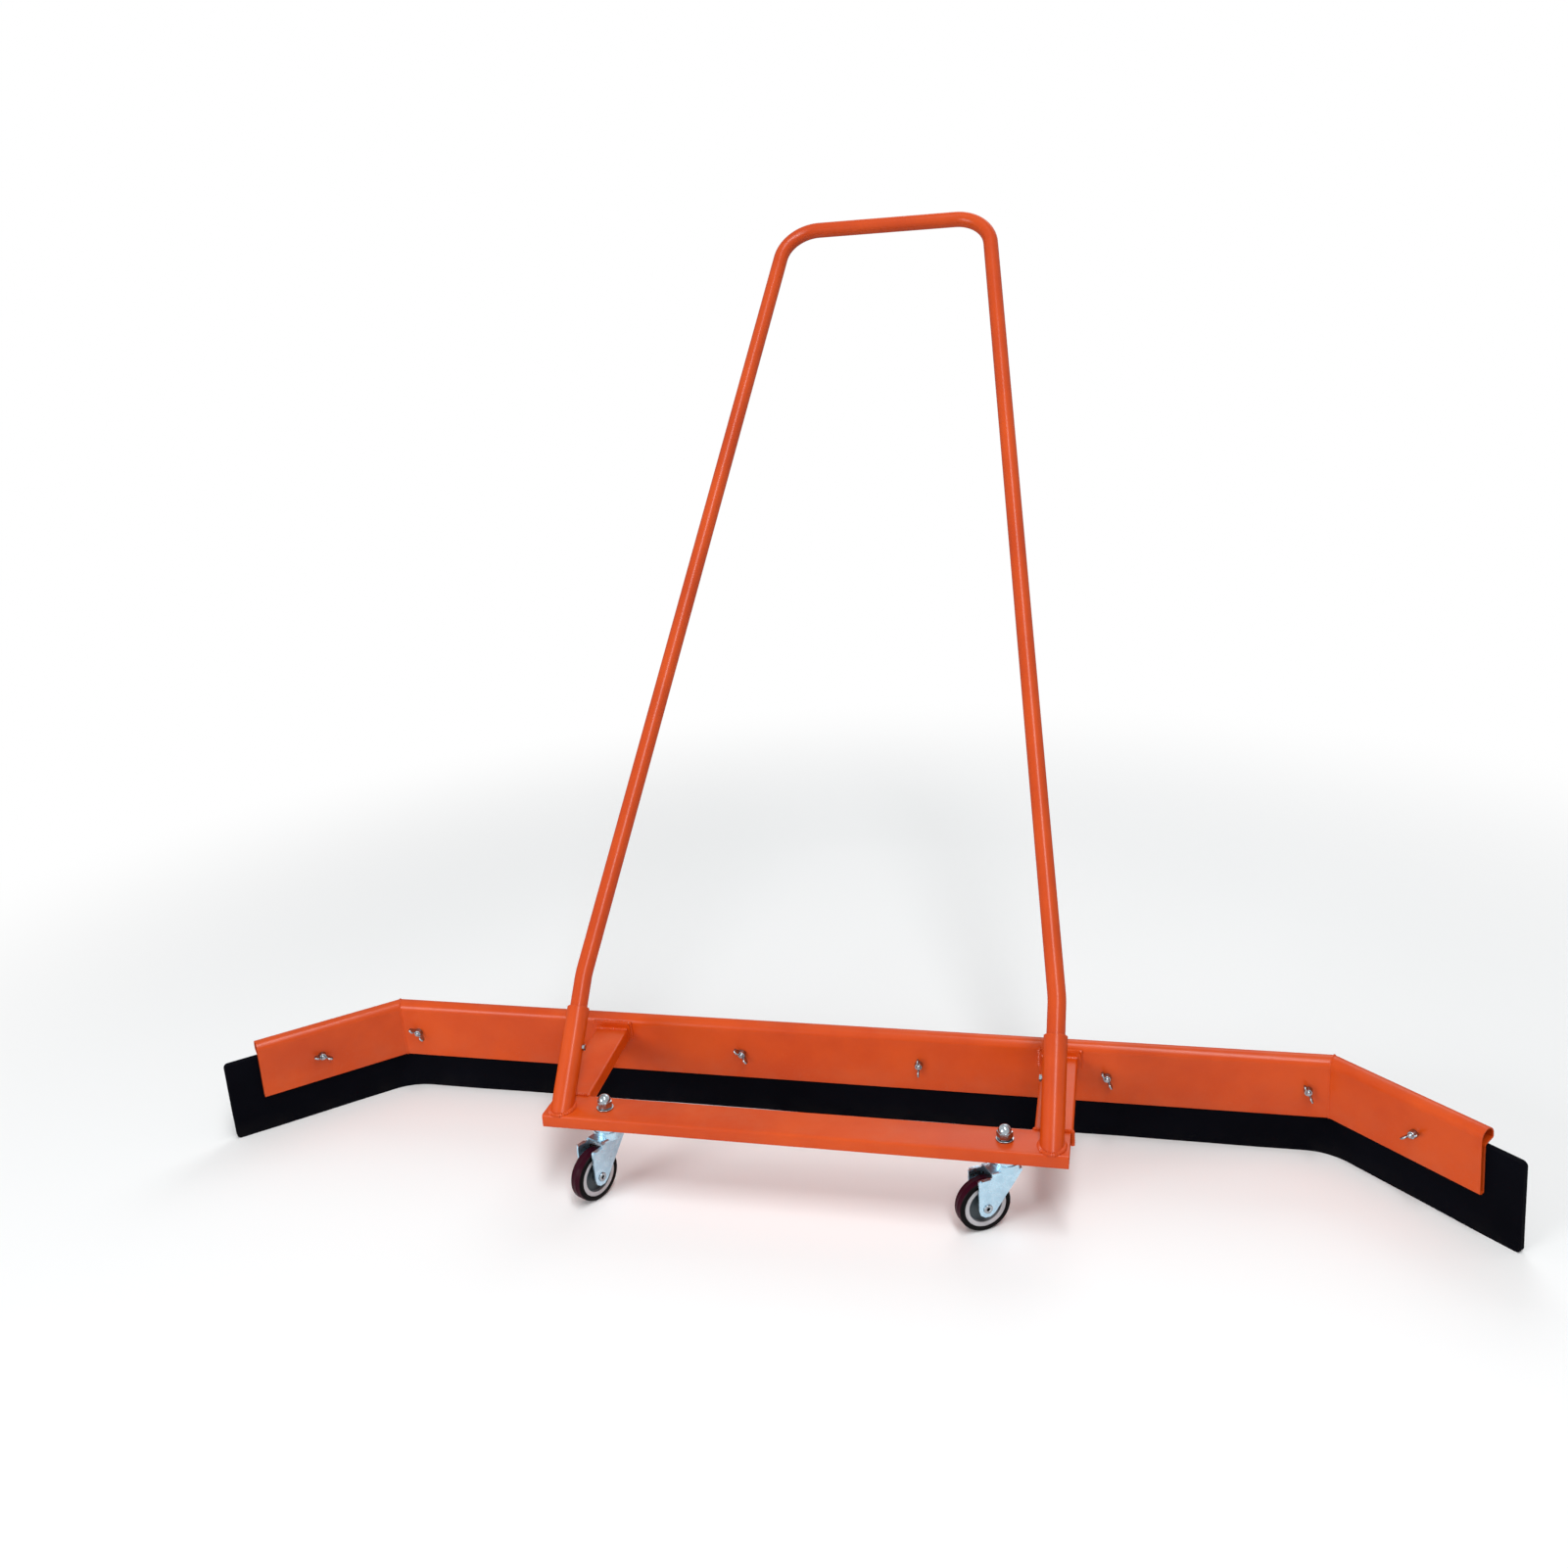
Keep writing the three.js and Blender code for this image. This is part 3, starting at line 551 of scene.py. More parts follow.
@dataclass(frozen=True)
class Finish:
    """What every finish has, and how its material is wired.

    Roughness, given first for the dull and then for the bright parts of the mottling, runs between
    two values. Scales and splashes are those of the shared effects.
    """

    look: Look
    colour: Colour
    dull_colour: Colour
    dirt_colour: Colour
    roughness: tuple[float, float]
    fine_scale: float
    broad_scale: float
    settled: float
    splashed: float
    splash_height: float
    relief_depth: float
    relief_strength: float
    specular: float = 0.5

    def material(self, effects: Effects) -> bpy.types.Material:
        """Makes the finish's material.

        Args:
            effects: The shared node groups.

        Returns:
            A node material with its Principled shader wired.
        """
        made = bpy.data.materials.new(self.look.value[0])
        made.use_nodes = True
        made.diffuse_color = self.colour
        wiring = Wiring(made.node_tree)
        shader = made.node_tree.nodes["Principled BSDF"]
        grain = self.effect(wiring, effects.grain, "fine_scale", "broad_scale")
        dust = self.effect(wiring, effects.dust, "settled", "splashed", "splash_height")
        mottle, dirt = grain.outputs["Mottle"], dust.outputs["Mask"]
        clean = self.coloured(wiring, effects, mottle)
        wiring.feed(shader.inputs["Base Color"], wiring.mix(dirt, clean, self.dirt_colour))
        rough = self.roughened(wiring, effects, wiring.ramp(mottle, 0.0, 1.0, *self.roughness), dirt)
        wiring.feed(shader.inputs["Roughness"], rough)
        height = {
            "Height": grain.outputs["Height"],
            "Distance": self.relief_depth,
            "Strength": self.relief_strength,
        }
        wiring.feed(shader.inputs["Normal"], wiring.node("ShaderNodeBump", height).outputs[0])
        shader.inputs["Specular IOR Level"].default_value = self.specular
        self.complete(wiring, shader, dirt)
        return made

    def effect(self, wiring: Wiring, tree: bpy.types.NodeTree, *names: str) -> bpy.types.Node:
        """Places a shared effect, fed by the fields that have its inputs' names."""
        placed = wiring.node("ShaderNodeGroup", node_tree=tree)
        for name in names:
            wiring.feed(placed.inputs[name.replace("_", " ").title()], getattr(self, name))
        return placed

    def coloured(self, wiring: Wiring, effects: Effects, mottle: Socket) -> Socket:
        """The clean surface's colour."""
        return wiring.mix(mottle, self.dull_colour, self.colour)

    def roughened(self, wiring: Wiring, effects: Effects, rough: Socket, dirt: Socket) -> Socket:
        """The roughness with what wear and dirt add to it."""
        return rough

    def complete(self, wiring: Wiring, shader: bpy.types.Node, dirt: Socket) -> None:
        """Sets what the finish has beyond colour, roughness, relief and shine."""


@dataclass(frozen=True)
class PaintFinish(Finish):
    """Sprayed gloss enamel over steel, with a little orange peel, a painted highlight along its edges and
    dust.
    """

    look: Look = Look.PAINT
    colour: Colour = (0.64, 0.074, 0.005, 1.0)
    dull_colour: Colour = (0.55, 0.054, 0.003, 1.0)
    # Paler orange along the edges: a painted highlight.
    edge_highlight_colour: Colour = (0.76, 0.15, 0.05, 1.0)
    dirt_colour: Colour = (0.50, 0.20, 0.11, 1.0)
    roughness: tuple[float, float] = (0.42, 0.30)
    fine_scale: float = 420.0
    broad_scale: float = 7.0
    settled: float = 0.10
    splashed: float = 0.20
    splash_height: float = 0.14
    relief_depth: float = 0.05 * MM
    relief_strength: float = 0.12
    specular: float = 0.0
    # Width and strength of the painted edge highlight.
    wear_radius: float = 1.0 * MM
    wear_amount: float = 0.55
    dust_roughness: float = 0.5
    gloss: float = 0.17
    gloss_index: float = 2.2
    gloss_roughness: float = 0.28

    def coloured(self, wiring: Wiring, effects: Effects, mottle: Socket) -> Socket:
        """The mottled paint, paler along the edges: a painted edge highlight, broken up into patches."""
        edges = self.effect(wiring, effects.painted_edge_highlight, "wear_radius", "wear_amount")
        plain = super().coloured(wiring, effects, mottle)
        return wiring.mix(edges.outputs["Mask"], plain, self.edge_highlight_colour)

    def roughened(self, wiring: Wiring, effects: Effects, rough: Socket, dirt: Socket) -> Socket:
        """Duller where dust lies."""
        return wiring.math("ADD", rough, wiring.product(dirt, self.dust_roughness), clamped=True)

    def complete(self, wiring: Wiring, shader: bpy.types.Node, dirt: Socket) -> None:
        """Lays the gloss as a coat, so that faces seen at a low angle keep their colour."""
        wiring.feed(shader.inputs["Coat Weight"], wiring.ramp(dirt, 0.0, 1.0, self.gloss, 0.0))
        shader.inputs["Coat IOR"].default_value = self.gloss_index
        shader.inputs["Coat Roughness"].default_value = self.gloss_roughness


@dataclass(frozen=True)
class ZincFinish(Finish):
    """Bright zinc plate, with soft spangle, fine scratches and dull patches."""

    look: Look = Look.PRESSED_ZINC
    colour: Colour = (0.54, 0.76, 0.90, 1.0)
    dull_colour: Colour = (0.45, 0.66, 0.80, 1.0)
    dirt_colour: Colour = (0.16, 0.14, 0.12, 1.0)
    roughness: tuple[float, float] = (0.38, 0.24)
    fine_scale: float = 1400.0
    broad_scale: float = 95.0
    settled: float = 0.2
    splashed: float = 0.18
    splash_height: float = 0.09
    relief_depth: float = 0.02 * MM
    relief_strength: float = 0.25
    scratch_scale: float = 160.0
    scratch_roughness: float = 0.18
    dirt_cover: float = 0.7

    def roughened(self, wiring: Wiring, effects: Effects, rough: Socket, dirt: Socket) -> Socket:
        """Rougher along the scratches."""
        scratches = self.effect(wiring, effects.scratches, "scratch_scale").outputs["Mask"]
        return wiring.math("ADD", rough, wiring.product(scratches, self.scratch_roughness), clamped=True)

    def complete(self, wiring: Wiring, shader: bpy.types.Node, dirt: Socket) -> None:
        """Metal, apart from where dirt covers it."""
        covered = wiring.product(dirt, self.dirt_cover)
        wiring.feed(shader.inputs["Metallic"], wiring.math("SUBTRACT", 1.0, covered, clamped=True))


@dataclass(frozen=True)
class BladeRubberFinish(Finish):
    """Black sheet rubber: matt and finely grained, grey where it wipes the ground."""

    look: Look = Look.BLADE_RUBBER
    colour: Colour = (0.0036, 0.0038, 0.0062, 1.0)
    dull_colour: Colour = (0.0020, 0.0021, 0.0036, 1.0)
    dirt_colour: Colour = (0.012, 0.011, 0.011, 1.0)
    roughness: tuple[float, float] = (0.64, 0.82)
    fine_scale: float = 650.0
    broad_scale: float = 5.0
    settled: float = 0.1
    splashed: float = 0.4
    splash_height: float = 0.03
    relief_depth: float = 0.12 * MM
    relief_strength: float = 0.5
    specular: float = 0.012


@dataclass(frozen=True)
class TyreFinish(Finish):
    """Dark red tread rubber, nearly black down its sides."""

    look: Look = Look.TYRE
    colour: Colour = (0.028, 0.0022, 0.0085, 1.0)
    dull_colour: Colour = (0.0040, 0.0034, 0.0036, 1.0)
    dirt_colour: Colour = (0.05, 0.03, 0.03, 1.0)
    roughness: tuple[float, float] = (0.28, 0.46)
    fine_scale: float = 500.0
    broad_scale: float = 40.0
    settled: float = 0.0
    splashed: float = 0.12
    splash_height: float = 0.05
    relief_depth: float = 0.05 * MM
    relief_strength: float = 0.3
    specular: float = 0.05
    shoulder: float = 7.0 * MM
    side: float = 9.0 * MM

    def coloured(self, wiring: Wiring, effects: Effects, mottle: Socket) -> Socket:
        """The tread's red, and the sides' black past the shoulders."""
        offset = wiring.node("ShaderNodeAttribute", attribute_name="axle_offset").outputs["Fac"]
        sidewall = wiring.ramp(wiring.math("ABSOLUTE", offset), self.shoulder, self.side)
        return wiring.mix(sidewall, self.colour, self.dull_colour)


@dataclass(frozen=True)
class WheelFinish(Finish):
    """Moulded plastic: a pale rim, and a web and hub of darker plastic, deepened by painted shade of the
    recess.
    """

    look: Look = Look.WHEEL
    colour: Colour = (0.50, 0.48, 0.50, 1.0)
    # The web and hub's dark grey: darker plastic with painted shade of the recess.
    dull_colour: Colour = (0.030, 0.045, 0.055, 1.0)
    dirt_colour: Colour = (0.030, 0.045, 0.055, 1.0)
    roughness: tuple[float, float] = (0.37, 0.53)
    fine_scale: float = 700.0
    broad_scale: float = 60.0
    settled: float = 0.0
    splashed: float = 0.15
    splash_height: float = 0.05
    relief_depth: float = 0.03 * MM
    relief_strength: float = 0.3
    rim_inside: float = 23.2 * MM
    rim_edge: float = 24.4 * MM

    def coloured(self, wiring: Wiring, effects: Effects, mottle: Socket) -> Socket:
        """The dark grey within the rim, partly the web's darker plastic and partly painted shade of the
        recess, and the rim's own colour.
        """
        distance = wiring.node("ShaderNodeAttribute", attribute_name="axle_distance").outputs["Fac"]
        rim = wiring.ramp(distance, self.rim_inside, self.rim_edge)
        return wiring.mix(rim, self.dull_colour, self.colour)


class Bench:
    """Puts finished pieces on the squeegee."""

    def __init__(self) -> None:
        """Makes each finish's material once."""
        effects = Effects()
        # The fasteners' zinc is darker than the pressings': a painted reflection of dark surroundings, set
        # off by lamp highlights.
        dark_reflection_fastener_zinc = ZincFinish(
            look=Look.FASTENER_ZINC,
            colour=(0.42, 0.47, 0.51, 1.0),
            dull_colour=(0.24, 0.28, 0.31, 1.0),
            roughness=(0.24, 0.10),
        )
        finishes = (PaintFinish(), ZincFinish(), dark_reflection_fastener_zinc, BladeRubberFinish(), TyreFinish(), WheelFinish())
        self.materials = {finish.look: finish.material(effects) for finish in finishes}

    def fit(self, piece: bpy.types.Object, look: Look, body: str, *nodes: str) -> None:
        """Dresses a piece and sets it on its body.

        Args:
            piece: The piece, already in place.
            look: The finish that it takes.
            body: The body that it rides on.
            nodes: The CAD nodes that it stands for.
        """
        piece.data.materials.append(self.materials[look])
        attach(piece, body)
        if nodes:
            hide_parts(*nodes)
        LOG.info("%s rides on %s", piece.name, body)

    def refine(self, node: str, name: str, edge: float) -> bpy.types.Object:
        """Copies a CAD node's own shape as one clean mesh, with its crisp edges broken.

        Args:
            node: The CAD node.
            name: The new piece's name.
            edge: Width of the broken edges.

        Returns:
            The new piece, not yet dressed.
        """
        mesh = bpy.data.meshes.new(name)
        made = bmesh.new()
        made.from_mesh(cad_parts[node].data)
        bmesh.ops.remove_doubles(made, verts=made.verts, dist=JOIN_DISTANCE)
        bmesh.ops.dissolve_limit(
            made, angle_limit=math.radians(FLAT_DEGREES), verts=made.verts, edges=made.edges, delimit=set()
        )
        piece = smooth_object(made, mesh, SHARP_DEGREES)
        self.break_edges(piece, edge)
        return piece

    def break_edges(
        self, piece: bpy.types.Object, width: float,
        segments: int = 2, angle: float = 50.0, hardened: bool = True,
    ) -> None:
        """Breaks a piece's crisp edges by a small round.

        Args:
            piece: The piece.
            width: Width of the round.
            segments: Steps across it.
            angle: Edges that turn by more degrees than this are broken.
            hardened: Whether the faces beside the round are shaded flat.
        """
        bevel = piece.modifiers.new("broken_edges", "BEVEL")
        bevel.width = width
        bevel.segments = segments
        bevel.limit_method = "ANGLE"
        bevel.angle_limit = math.radians(angle)
        bevel.harden_normals = hardened


@dataclass
class BladePlace:
    """Where the blade stands, its section's own frame, and the sizes that its neighbours share."""

    centre_length: float = 1436 * MM
    wing_length: float = 235 * MM
    sweep: float = math.radians(45)
    rake: float = math.radians(6)
    bar_front: float = 262 * MM
    bar_top: float = 125 * MM
    leg_x: float = 341.5 * MM
    holder_face: float = -13.3 * MM
    holder_foot: float = 65 * MM

    @property
    def line_y(self) -> float:
        """How far back the middle of the rubber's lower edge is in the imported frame."""
        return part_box("base_bar")[0].y + self.bar_front

    @property
    def bend_x(self) -> float:
        """How far out the bends are."""
        return self.centre_length / 2

    def section(self, u: float, v: float) -> Vector:
        """The (y, z) place of a point u behind the middle of the blade and v up it."""
        return Vector((
            u * math.cos(self.rake) - v * math.sin(self.rake),
            u * math.sin(self.rake) + v * math.cos(self.rake),
        ))

    def depth_at(self, u: float, z: float) -> float:
        """Where the raked plane u behind the middle of the blade lies at one height."""
        return (u - z * math.sin(self.rake)) / math.cos(self.rake)

    def packed(self) -> Matrix:
        """Carries the blade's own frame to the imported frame."""
        return Matrix.Translation((0, self.line_y, 0))

    def wing(self, side: Side) -> Matrix:
        """Swings a body made along X from the bend forwards onto its wing."""
        swing = Matrix.Rotation(-side.value * self.sweep, 4, "Z")
        return Matrix.Translation((side.value * self.bend_x, 0, 0)) @ swing

    def face(self, x: float, v: float) -> Matrix:
        """Turns a body made about +Z so that it points forwards out of the blade."""
        place = self.section(0, v)
        return Matrix.Translation((x, place.x, place.y)) @ Matrix.Rotation(math.pi / 2 + self.rake, 4, "X")


@dataclass
class Assembly:
    """A sub-assembly: the blade that it is placed by, and the bench that dresses its pieces."""

    place: BladePlace
    bench: Bench

    def add(
        self, shell: Shell, name: str, look: Look, *nodes: str,
        body: str = Body.FRAME.value, edge: float = 0.0,
    ) -> None:
        """Makes a piece of a shell, dresses it and sets it on its body.

        Args:
            shell: The shell, already in place.
            name: The piece's name.
            look: The finish that it takes.
            nodes: The CAD nodes that it stands for.
            body: The body that it rides on.
            edge: Width of its broken edges; 0 leaves them crisp.
        """
        piece = shell.piece(name)
        if edge:
            self.bench.break_edges(piece, edge)
        self.bench.fit(piece, look, body, *nodes)

    def fasten(self, shell: Shell, node: str) -> None:
        """Makes a fastener of the frame in place of its CAD node."""
        self.add(shell, f"{node}_fine", Look.FASTENER_ZINC, node)

    def rework(self, node: str, name: str, look: Look, edge: float, body: str = Body.FRAME.value) -> None:
        """Dresses a CAD node's own shape, with its crisp edges broken by a round of this width."""
        self.bench.fit(self.bench.refine(node, name, edge), look, body, node)


@dataclass
class Holder(Assembly):
    """The folded holder: three lengths, welded where they meet at the bends."""

    back: float = -4.3 * MM
    bead_back: float = 11.7 * MM
    top: float = 161 * MM
    bead_height: float = 24 * MM
    underside_rise: float = 5 * MM
    edge_radius: float = 3 * MM
    sheet: float = 2 * MM
    edge_break: float = 0.35 * MM
    corner_steps: int = 8
    weld: WeldBead = WeldBead(radius=1.1 * MM, ripple_pitch=2.6 * MM, ripple_share=0.08)

    def outline(self, inset: float) -> list[Vector]:
        """The holder's section, as (y, z) places.

        Args:
            inset: How far inside the sheet's outer face; 0 is the outer face itself.

        Returns:
            The places round the section.
        """
        underside = self.top - self.bead_height
        edge = self.edge_radius - inset
        crown = (self.bead_back - self.place.holder_face) / 2 - inset
        corners = [
            (self.place.holder_face, self.place.holder_foot, edge),
            (self.back, self.place.holder_foot, edge),
            (self.back, underside, self.edge_radius / 2 + inset),
            (self.bead_back, underside + self.underside_rise, edge),
            (self.bead_back, self.top, crown),
            (self.place.holder_face, self.top, crown),
        ]
        rounded = round_outline(inset_outline(corners, inset), self.corner_steps)
        return [self.place.section(p.x, p.y) for p in rounded]

    def length(self, ends: Sequence[tuple[float, float]]) -> Shell:
        """One length of the folded sheet along X, open at both ends.

        Args:
            ends: The x and the slant of each end.

        Returns:
            The length's shell.
        """
        outer, inner = (
            [[Vector((x + p.x * slant, p.x, p.y)) for p in self.outline(inset)] for x, slant in ends]
            for inset in (0.0, self.sheet)
        )
        return skin(outer + inner[::-1], closed=True)

    def build(self) -> None:
        """Folds the three lengths and lays the two corner welds."""
        half = FIT_GAP / 2
        slope = math.tan(self.place.sweep / 2)
        inner_end = self.place.bend_x - half
        left, right = self.place.wing(Side.LEFT), self.place.wing(Side.RIGHT)
        lengths = {
            "centre_holder": ([(-inner_end, -slope), (inner_end, slope)], Matrix.Identity(4)),
            "left_wing_holder": ([(-self.place.wing_length, 0), (-half, slope)], left),
            "right_wing_holder": ([(half, -slope), (self.place.wing_length, 0)], right),
        }
        for node, (ends, matrix) in lengths.items():
            sheet = self.length(ends).moved(self.place.packed() @ matrix)
            self.add(sheet, f"{node}_sheet", Look.PAINT, node, edge=self.edge_break)
        for side in Side:
            seam = [
                Vector((side.value * (self.place.bend_x + p.x * slope), p.x, p.y))
                for p in self.outline(0.0)
            ]
            bead = self.weld.along(seam, closed=True).moved(self.place.packed())
            self.add(bead, f"{side.word}_corner_weld", Look.PAINT)


@dataclass
class RubberBlade(Assembly):
    """The rubber strip: wrapped close round the bends, wavy where it hangs free."""

    thickness: float = 8 * MM
    overhang: float = 50 * MM
    corner_radius: float = 7 * MM
    wrap_radius: float = 1.5 * MM
    lower_bend_radius: float = 80 * MM
    top: float = 137 * MM
    top_clearance: float = 1.6 * MM
    held_below_foot: float = 4 * MM
    wave: float = 1.3 * MM
    slow_waves: tuple[Wave, ...] = ((1.0, 9.1, 0.6), (0.6, 21.0, 2.1))
    quick_waves: tuple[Wave, ...] = ((0.35, 47.0, 4.0),)
    centre_slow: float = 0.5
    centre_quick: float = 0.4
    station_step: float = 12 * MM
    bend_steps: int = 12
    corner_steps: int = 8
    rows: int = 10
    edge_break: float = 0.8 * MM

    def half_line(self, u: float, z: float, radius: float, lift: int) -> list[Vector]:
        """One edge of the strip along its right half, round the bend and then to the end.

        Args:
            u: The edge's place behind the blade's middle.
            z: Its height.
            radius: Its radius round the bend.
            lift: 1 where the end's corner lifts it, -1 where the corner drops it, otherwise 0.

        Returns:
            The edge's places.
        """
        offset = self.place.depth_at(u, z)
        start = Vector((self.place.bend_x + (offset - radius) * math.tan(self.place.sweep / 2), offset))
        centre = Vector((start.x, offset - radius))
        line = []
        for k in range(self.bend_steps + 1):
            spot = centre + Matrix.Rotation(-self.place.sweep * k / self.bend_steps, 2) @ (start - centre)
            line.append(Vector((spot.x, spot.y, z)))
        swing = Matrix.Rotation(-self.place.sweep, 2)
        for k in range(self.corner_steps + 1):
            turn = math.pi / 2 * k / self.corner_steps
            height = z + lift * self.corner_radius * (1 - math.cos(turn))
            reach = self.place.wing_length + self.overhang - self.corner_radius * (1 - math.sin(turn))
            spot = swing @ Vector((reach, self.place.depth_at(u, height)))
            line.append(Vector((spot.x + self.place.bend_x, spot.y, height)))
        return line

    def lines(self, u: float, added_radius: float) -> list[list[Vector]]:
        """The three edges up one face of the strip, each from its left end to its right end."""
        middle = self.place.section(u, self.place.holder_foot - self.top_clearance).y
        top = self.place.section(u, self.top - self.top_clearance).y
        edges = (
            (0.0, self.lower_bend_radius, 1),
            (middle, self.wrap_radius, 0),
            (top, self.wrap_radius, -1),
        )
        found = []
        for z, radius, lift in edges:
            half = self.half_line(u, z, radius + added_radius, lift)
            found.append([Vector((-p.x, p.y, p.z)) for p in reversed(half)] + half)
        return found

    def spread(self, line: list[Vector], counts: list[int]) -> list[Vector]:
        """Puts extra places on the long runs of a line."""
        filled = []
        for (start, end), count in zip(zip(line, line[1:]), counts):
            filled += [start.lerp(end, k / count) for k in range(count)]
        return filled + [line[-1]]

    def sway(self, place: Vector) -> float:
        """How far the free rubber stands off its true face there."""
        foot = self.place.holder_foot
        free = smooth_step((foot - self.held_below_foot - place.z) / foot)
        end = smooth_step((abs(place.x) - self.place.bend_x) / self.place.wing_length)
        slow = wave_sum(self.slow_waves, place.x) * (self.centre_slow + (1 - self.centre_slow) * end)
        quick = wave_sum(self.quick_waves, place.x) * (self.centre_quick + end)
        return self.wave * free * (slow + quick)

    def build(self) -> None:
        """Skins the strip and stands it in for the CAD strip."""
        front = self.lines(-self.thickness / 2, 0.0)
        back = self.lines(self.thickness / 2, self.thickness)
        counts = [
            max(1, math.ceil((end - start).length / self.station_step))
            for start, end in zip(front[0], front[0][1:])
        ]
        front = [self.spread(line, counts) for line in front]
        back = [self.spread(line, counts) for line in back]
        rings = []
        for i in range(len(front[0])):
            up = self.column(front, i)
            down = self.column(back, i)[::-1]
            rings.append(up + down)
        shell = skin(rings, capped=True)
        shell.points = [p - Vector((0, self.sway(p), 0)) for p in shell.points]
        piece = shell.moved(self.place.packed()).piece("rubber_strip", sharp=50.0)
        self.bench.break_edges(piece, self.edge_break, segments=3, angle=60.0, hardened=False)
        self.bench.fit(piece, Look.BLADE_RUBBER, Body.FRAME.value, "rubber_blade")

    def column(self, lines: list[list[Vector]], i: int) -> list[Vector]:
        """The places up one face of the strip at one station, from the ground to its top."""
        lower, middle, upper = (line[i] for line in lines)
        low = [lower.lerp(middle, k / self.rows) for k in range(self.rows)]
        return low + [middle, upper]


@dataclass
class Clamps(Assembly):
    """Eight clamps: a bolt from behind, a washer against the rubber and a wing nut in front."""

    height: float = 111 * MM
    wing_offset: float = 142 * MM
    inner_x: float = 136 * MM
    middle_x: float = 408 * MM
    outer_x: float = 680 * MM
    bolt_radius: float = 3 * MM
    thread_pitch: float = 1 * MM
    thread_depth: float = 0.45 * MM
    thread_turns: int = 8
    head_width: float = 10 * MM
    head_height: float = 4 * MM
    washer_radius: float = 9 * MM
    washer_thickness: float = 1.6 * MM
    rubber_half: float = 4 * MM
    protrusion: float = 3 * MM
    boss_height: float = 7 * MM
    base_radius: float = 6.4 * MM
    top_radius: float = 5.2 * MM
    wing_span: float = 30 * MM
    wing_top: float = 14 * MM
    wing_lift: float = 1.2 * MM
    wing_thickness: float = 3 * MM
    tip_width: float = 8 * MM
    tip_radius: float = 3.5 * MM
    turns: tuple[float, ...] = (-20, -42, -25, -50, 90, -60, -65, 35)

    def placings(self) -> list[tuple[str, Matrix]]:
        """Each clamp's name with the matrix that carries a body made about +Z onto it."""
        rows = [("inner", self.inner_x), ("middle", self.middle_x), ("outer", self.outer_x)]
        rows.append(("wing", self.wing_offset))
        found = []
        for side in Side:
            for row, x in rows[::side.value]:
                swing = self.place.wing(side) if row == "wing" else Matrix.Identity(4)
                matrix = self.place.packed() @ swing @ self.place.face(side.value * x, self.height)
                found.append((f"{side.word}_{row}", matrix))
        return found

    def wing_nut(self) -> Shell:
        """A cast wing nut that stands on z = 0."""
        bore = self.bolt_radius + FIT_GAP
        ease = 0.8 * MM
        boss = round_outline([
            (bore, 0, 0),
            (self.base_radius, 0, ease / 2),
            (self.top_radius, self.boss_height, ease),
            (bore, self.boss_height, ease / 2),
        ], steps=4)
        tip, tip_radius = self.wing_span / 2, self.tip_radius
        root = self.bolt_radius + 2 * FIT_GAP
        outline = round_outline([
            (root, self.wing_lift, 0),
            (self.base_radius, self.wing_lift, ease),
            (tip, self.wing_top - self.tip_width, tip_radius),
            (tip, self.wing_top, tip_radius),
            (tip - self.tip_width, self.wing_top, tip_radius),
            (root, self.boss_height - FIT_GAP, 0),
        ], steps=6)
        wing = self.pillow(outline, self.wing_thickness)
        upright = wing.moved(Matrix.Rotation(math.pi / 2, 4, "X"))
        return lathe(boss, sides=40) + upright + upright.moved(Matrix.Rotation(math.pi, 4, "Z"))

    def pillow(self, outline: list[Vector], thickness: float) -> Shell:
        """A plate with rounded rims, made by drawing its outline in towards both faces."""
        middle = sum(outline, Vector((0, 0))) / len(outline)
        rim, steps = thickness / 2, 6
        rings = []
        for k in range(steps + 1):
            turn = math.pi * k / steps - math.pi / 2
            inward = rim * (1 - math.cos(turn))
            ring = []
            for p in outline:
                arm = middle - p
                drawn = p + arm.normalized() * min(inward, arm.length)
                ring.append(Vector((drawn.x, drawn.y, rim * math.sin(turn))))
            rings.append(ring)
        return skin(rings, capped=True)

    def threaded_rod(self, radius: float, low: float, high: float) -> Shell:
        """A rod whose last millimetres carry a thread, with a turned end.

        Args:
            radius: The rod's outer radius.
            low: Where the rod starts.
            high: Where it ends.

        Returns:
            The rod's shell.
        """
        core = radius - self.thread_depth
        profile = [Vector((0, low)), Vector((radius, low))]
        level = high - self.thread_turns * self.thread_pitch
        while level < high - self.thread_pitch:
            profile += [Vector((radius, level)), Vector((core, level + self.thread_pitch / 2))]
            level += self.thread_pitch
        profile += [Vector((radius, level)), Vector((core, high)), Vector((0, high))]
        return lathe(profile, sides=32)

    def build(self) -> None:
        """Makes the eight sets."""
        seat = FIT_GAP - self.place.holder_face
        washer_top = -self.rubber_half - FIT_GAP
        washer_bottom = washer_top - self.washer_thickness
        head_top = washer_bottom - FIT_GAP
        shank_top = seat + self.boss_height + self.protrusion
        head = hexagon_body(self.head_width, head_top - self.head_height, head_top)
        bolt = head + self.threaded_rod(self.bolt_radius, head_top - self.head_height / 2, shank_top)
        bore = self.bolt_radius + FIT_GAP
        washer = washer_ring(bore, self.washer_radius, washer_bottom, washer_top, sides=48)
        nut = self.wing_nut()
        for (name, matrix), turn in zip(self.placings(), self.turns):
            turned = Matrix.Translation((0, 0, seat)) @ Matrix.Rotation(math.radians(turn), 4, "Z")
            made = {"clamp_bolt": bolt, "clamp_washer": washer, "wing_nut": nut.moved(turned)}
            for part, shell in made.items():
                self.fasten(shell.moved(matrix), f"{name}_{part}")


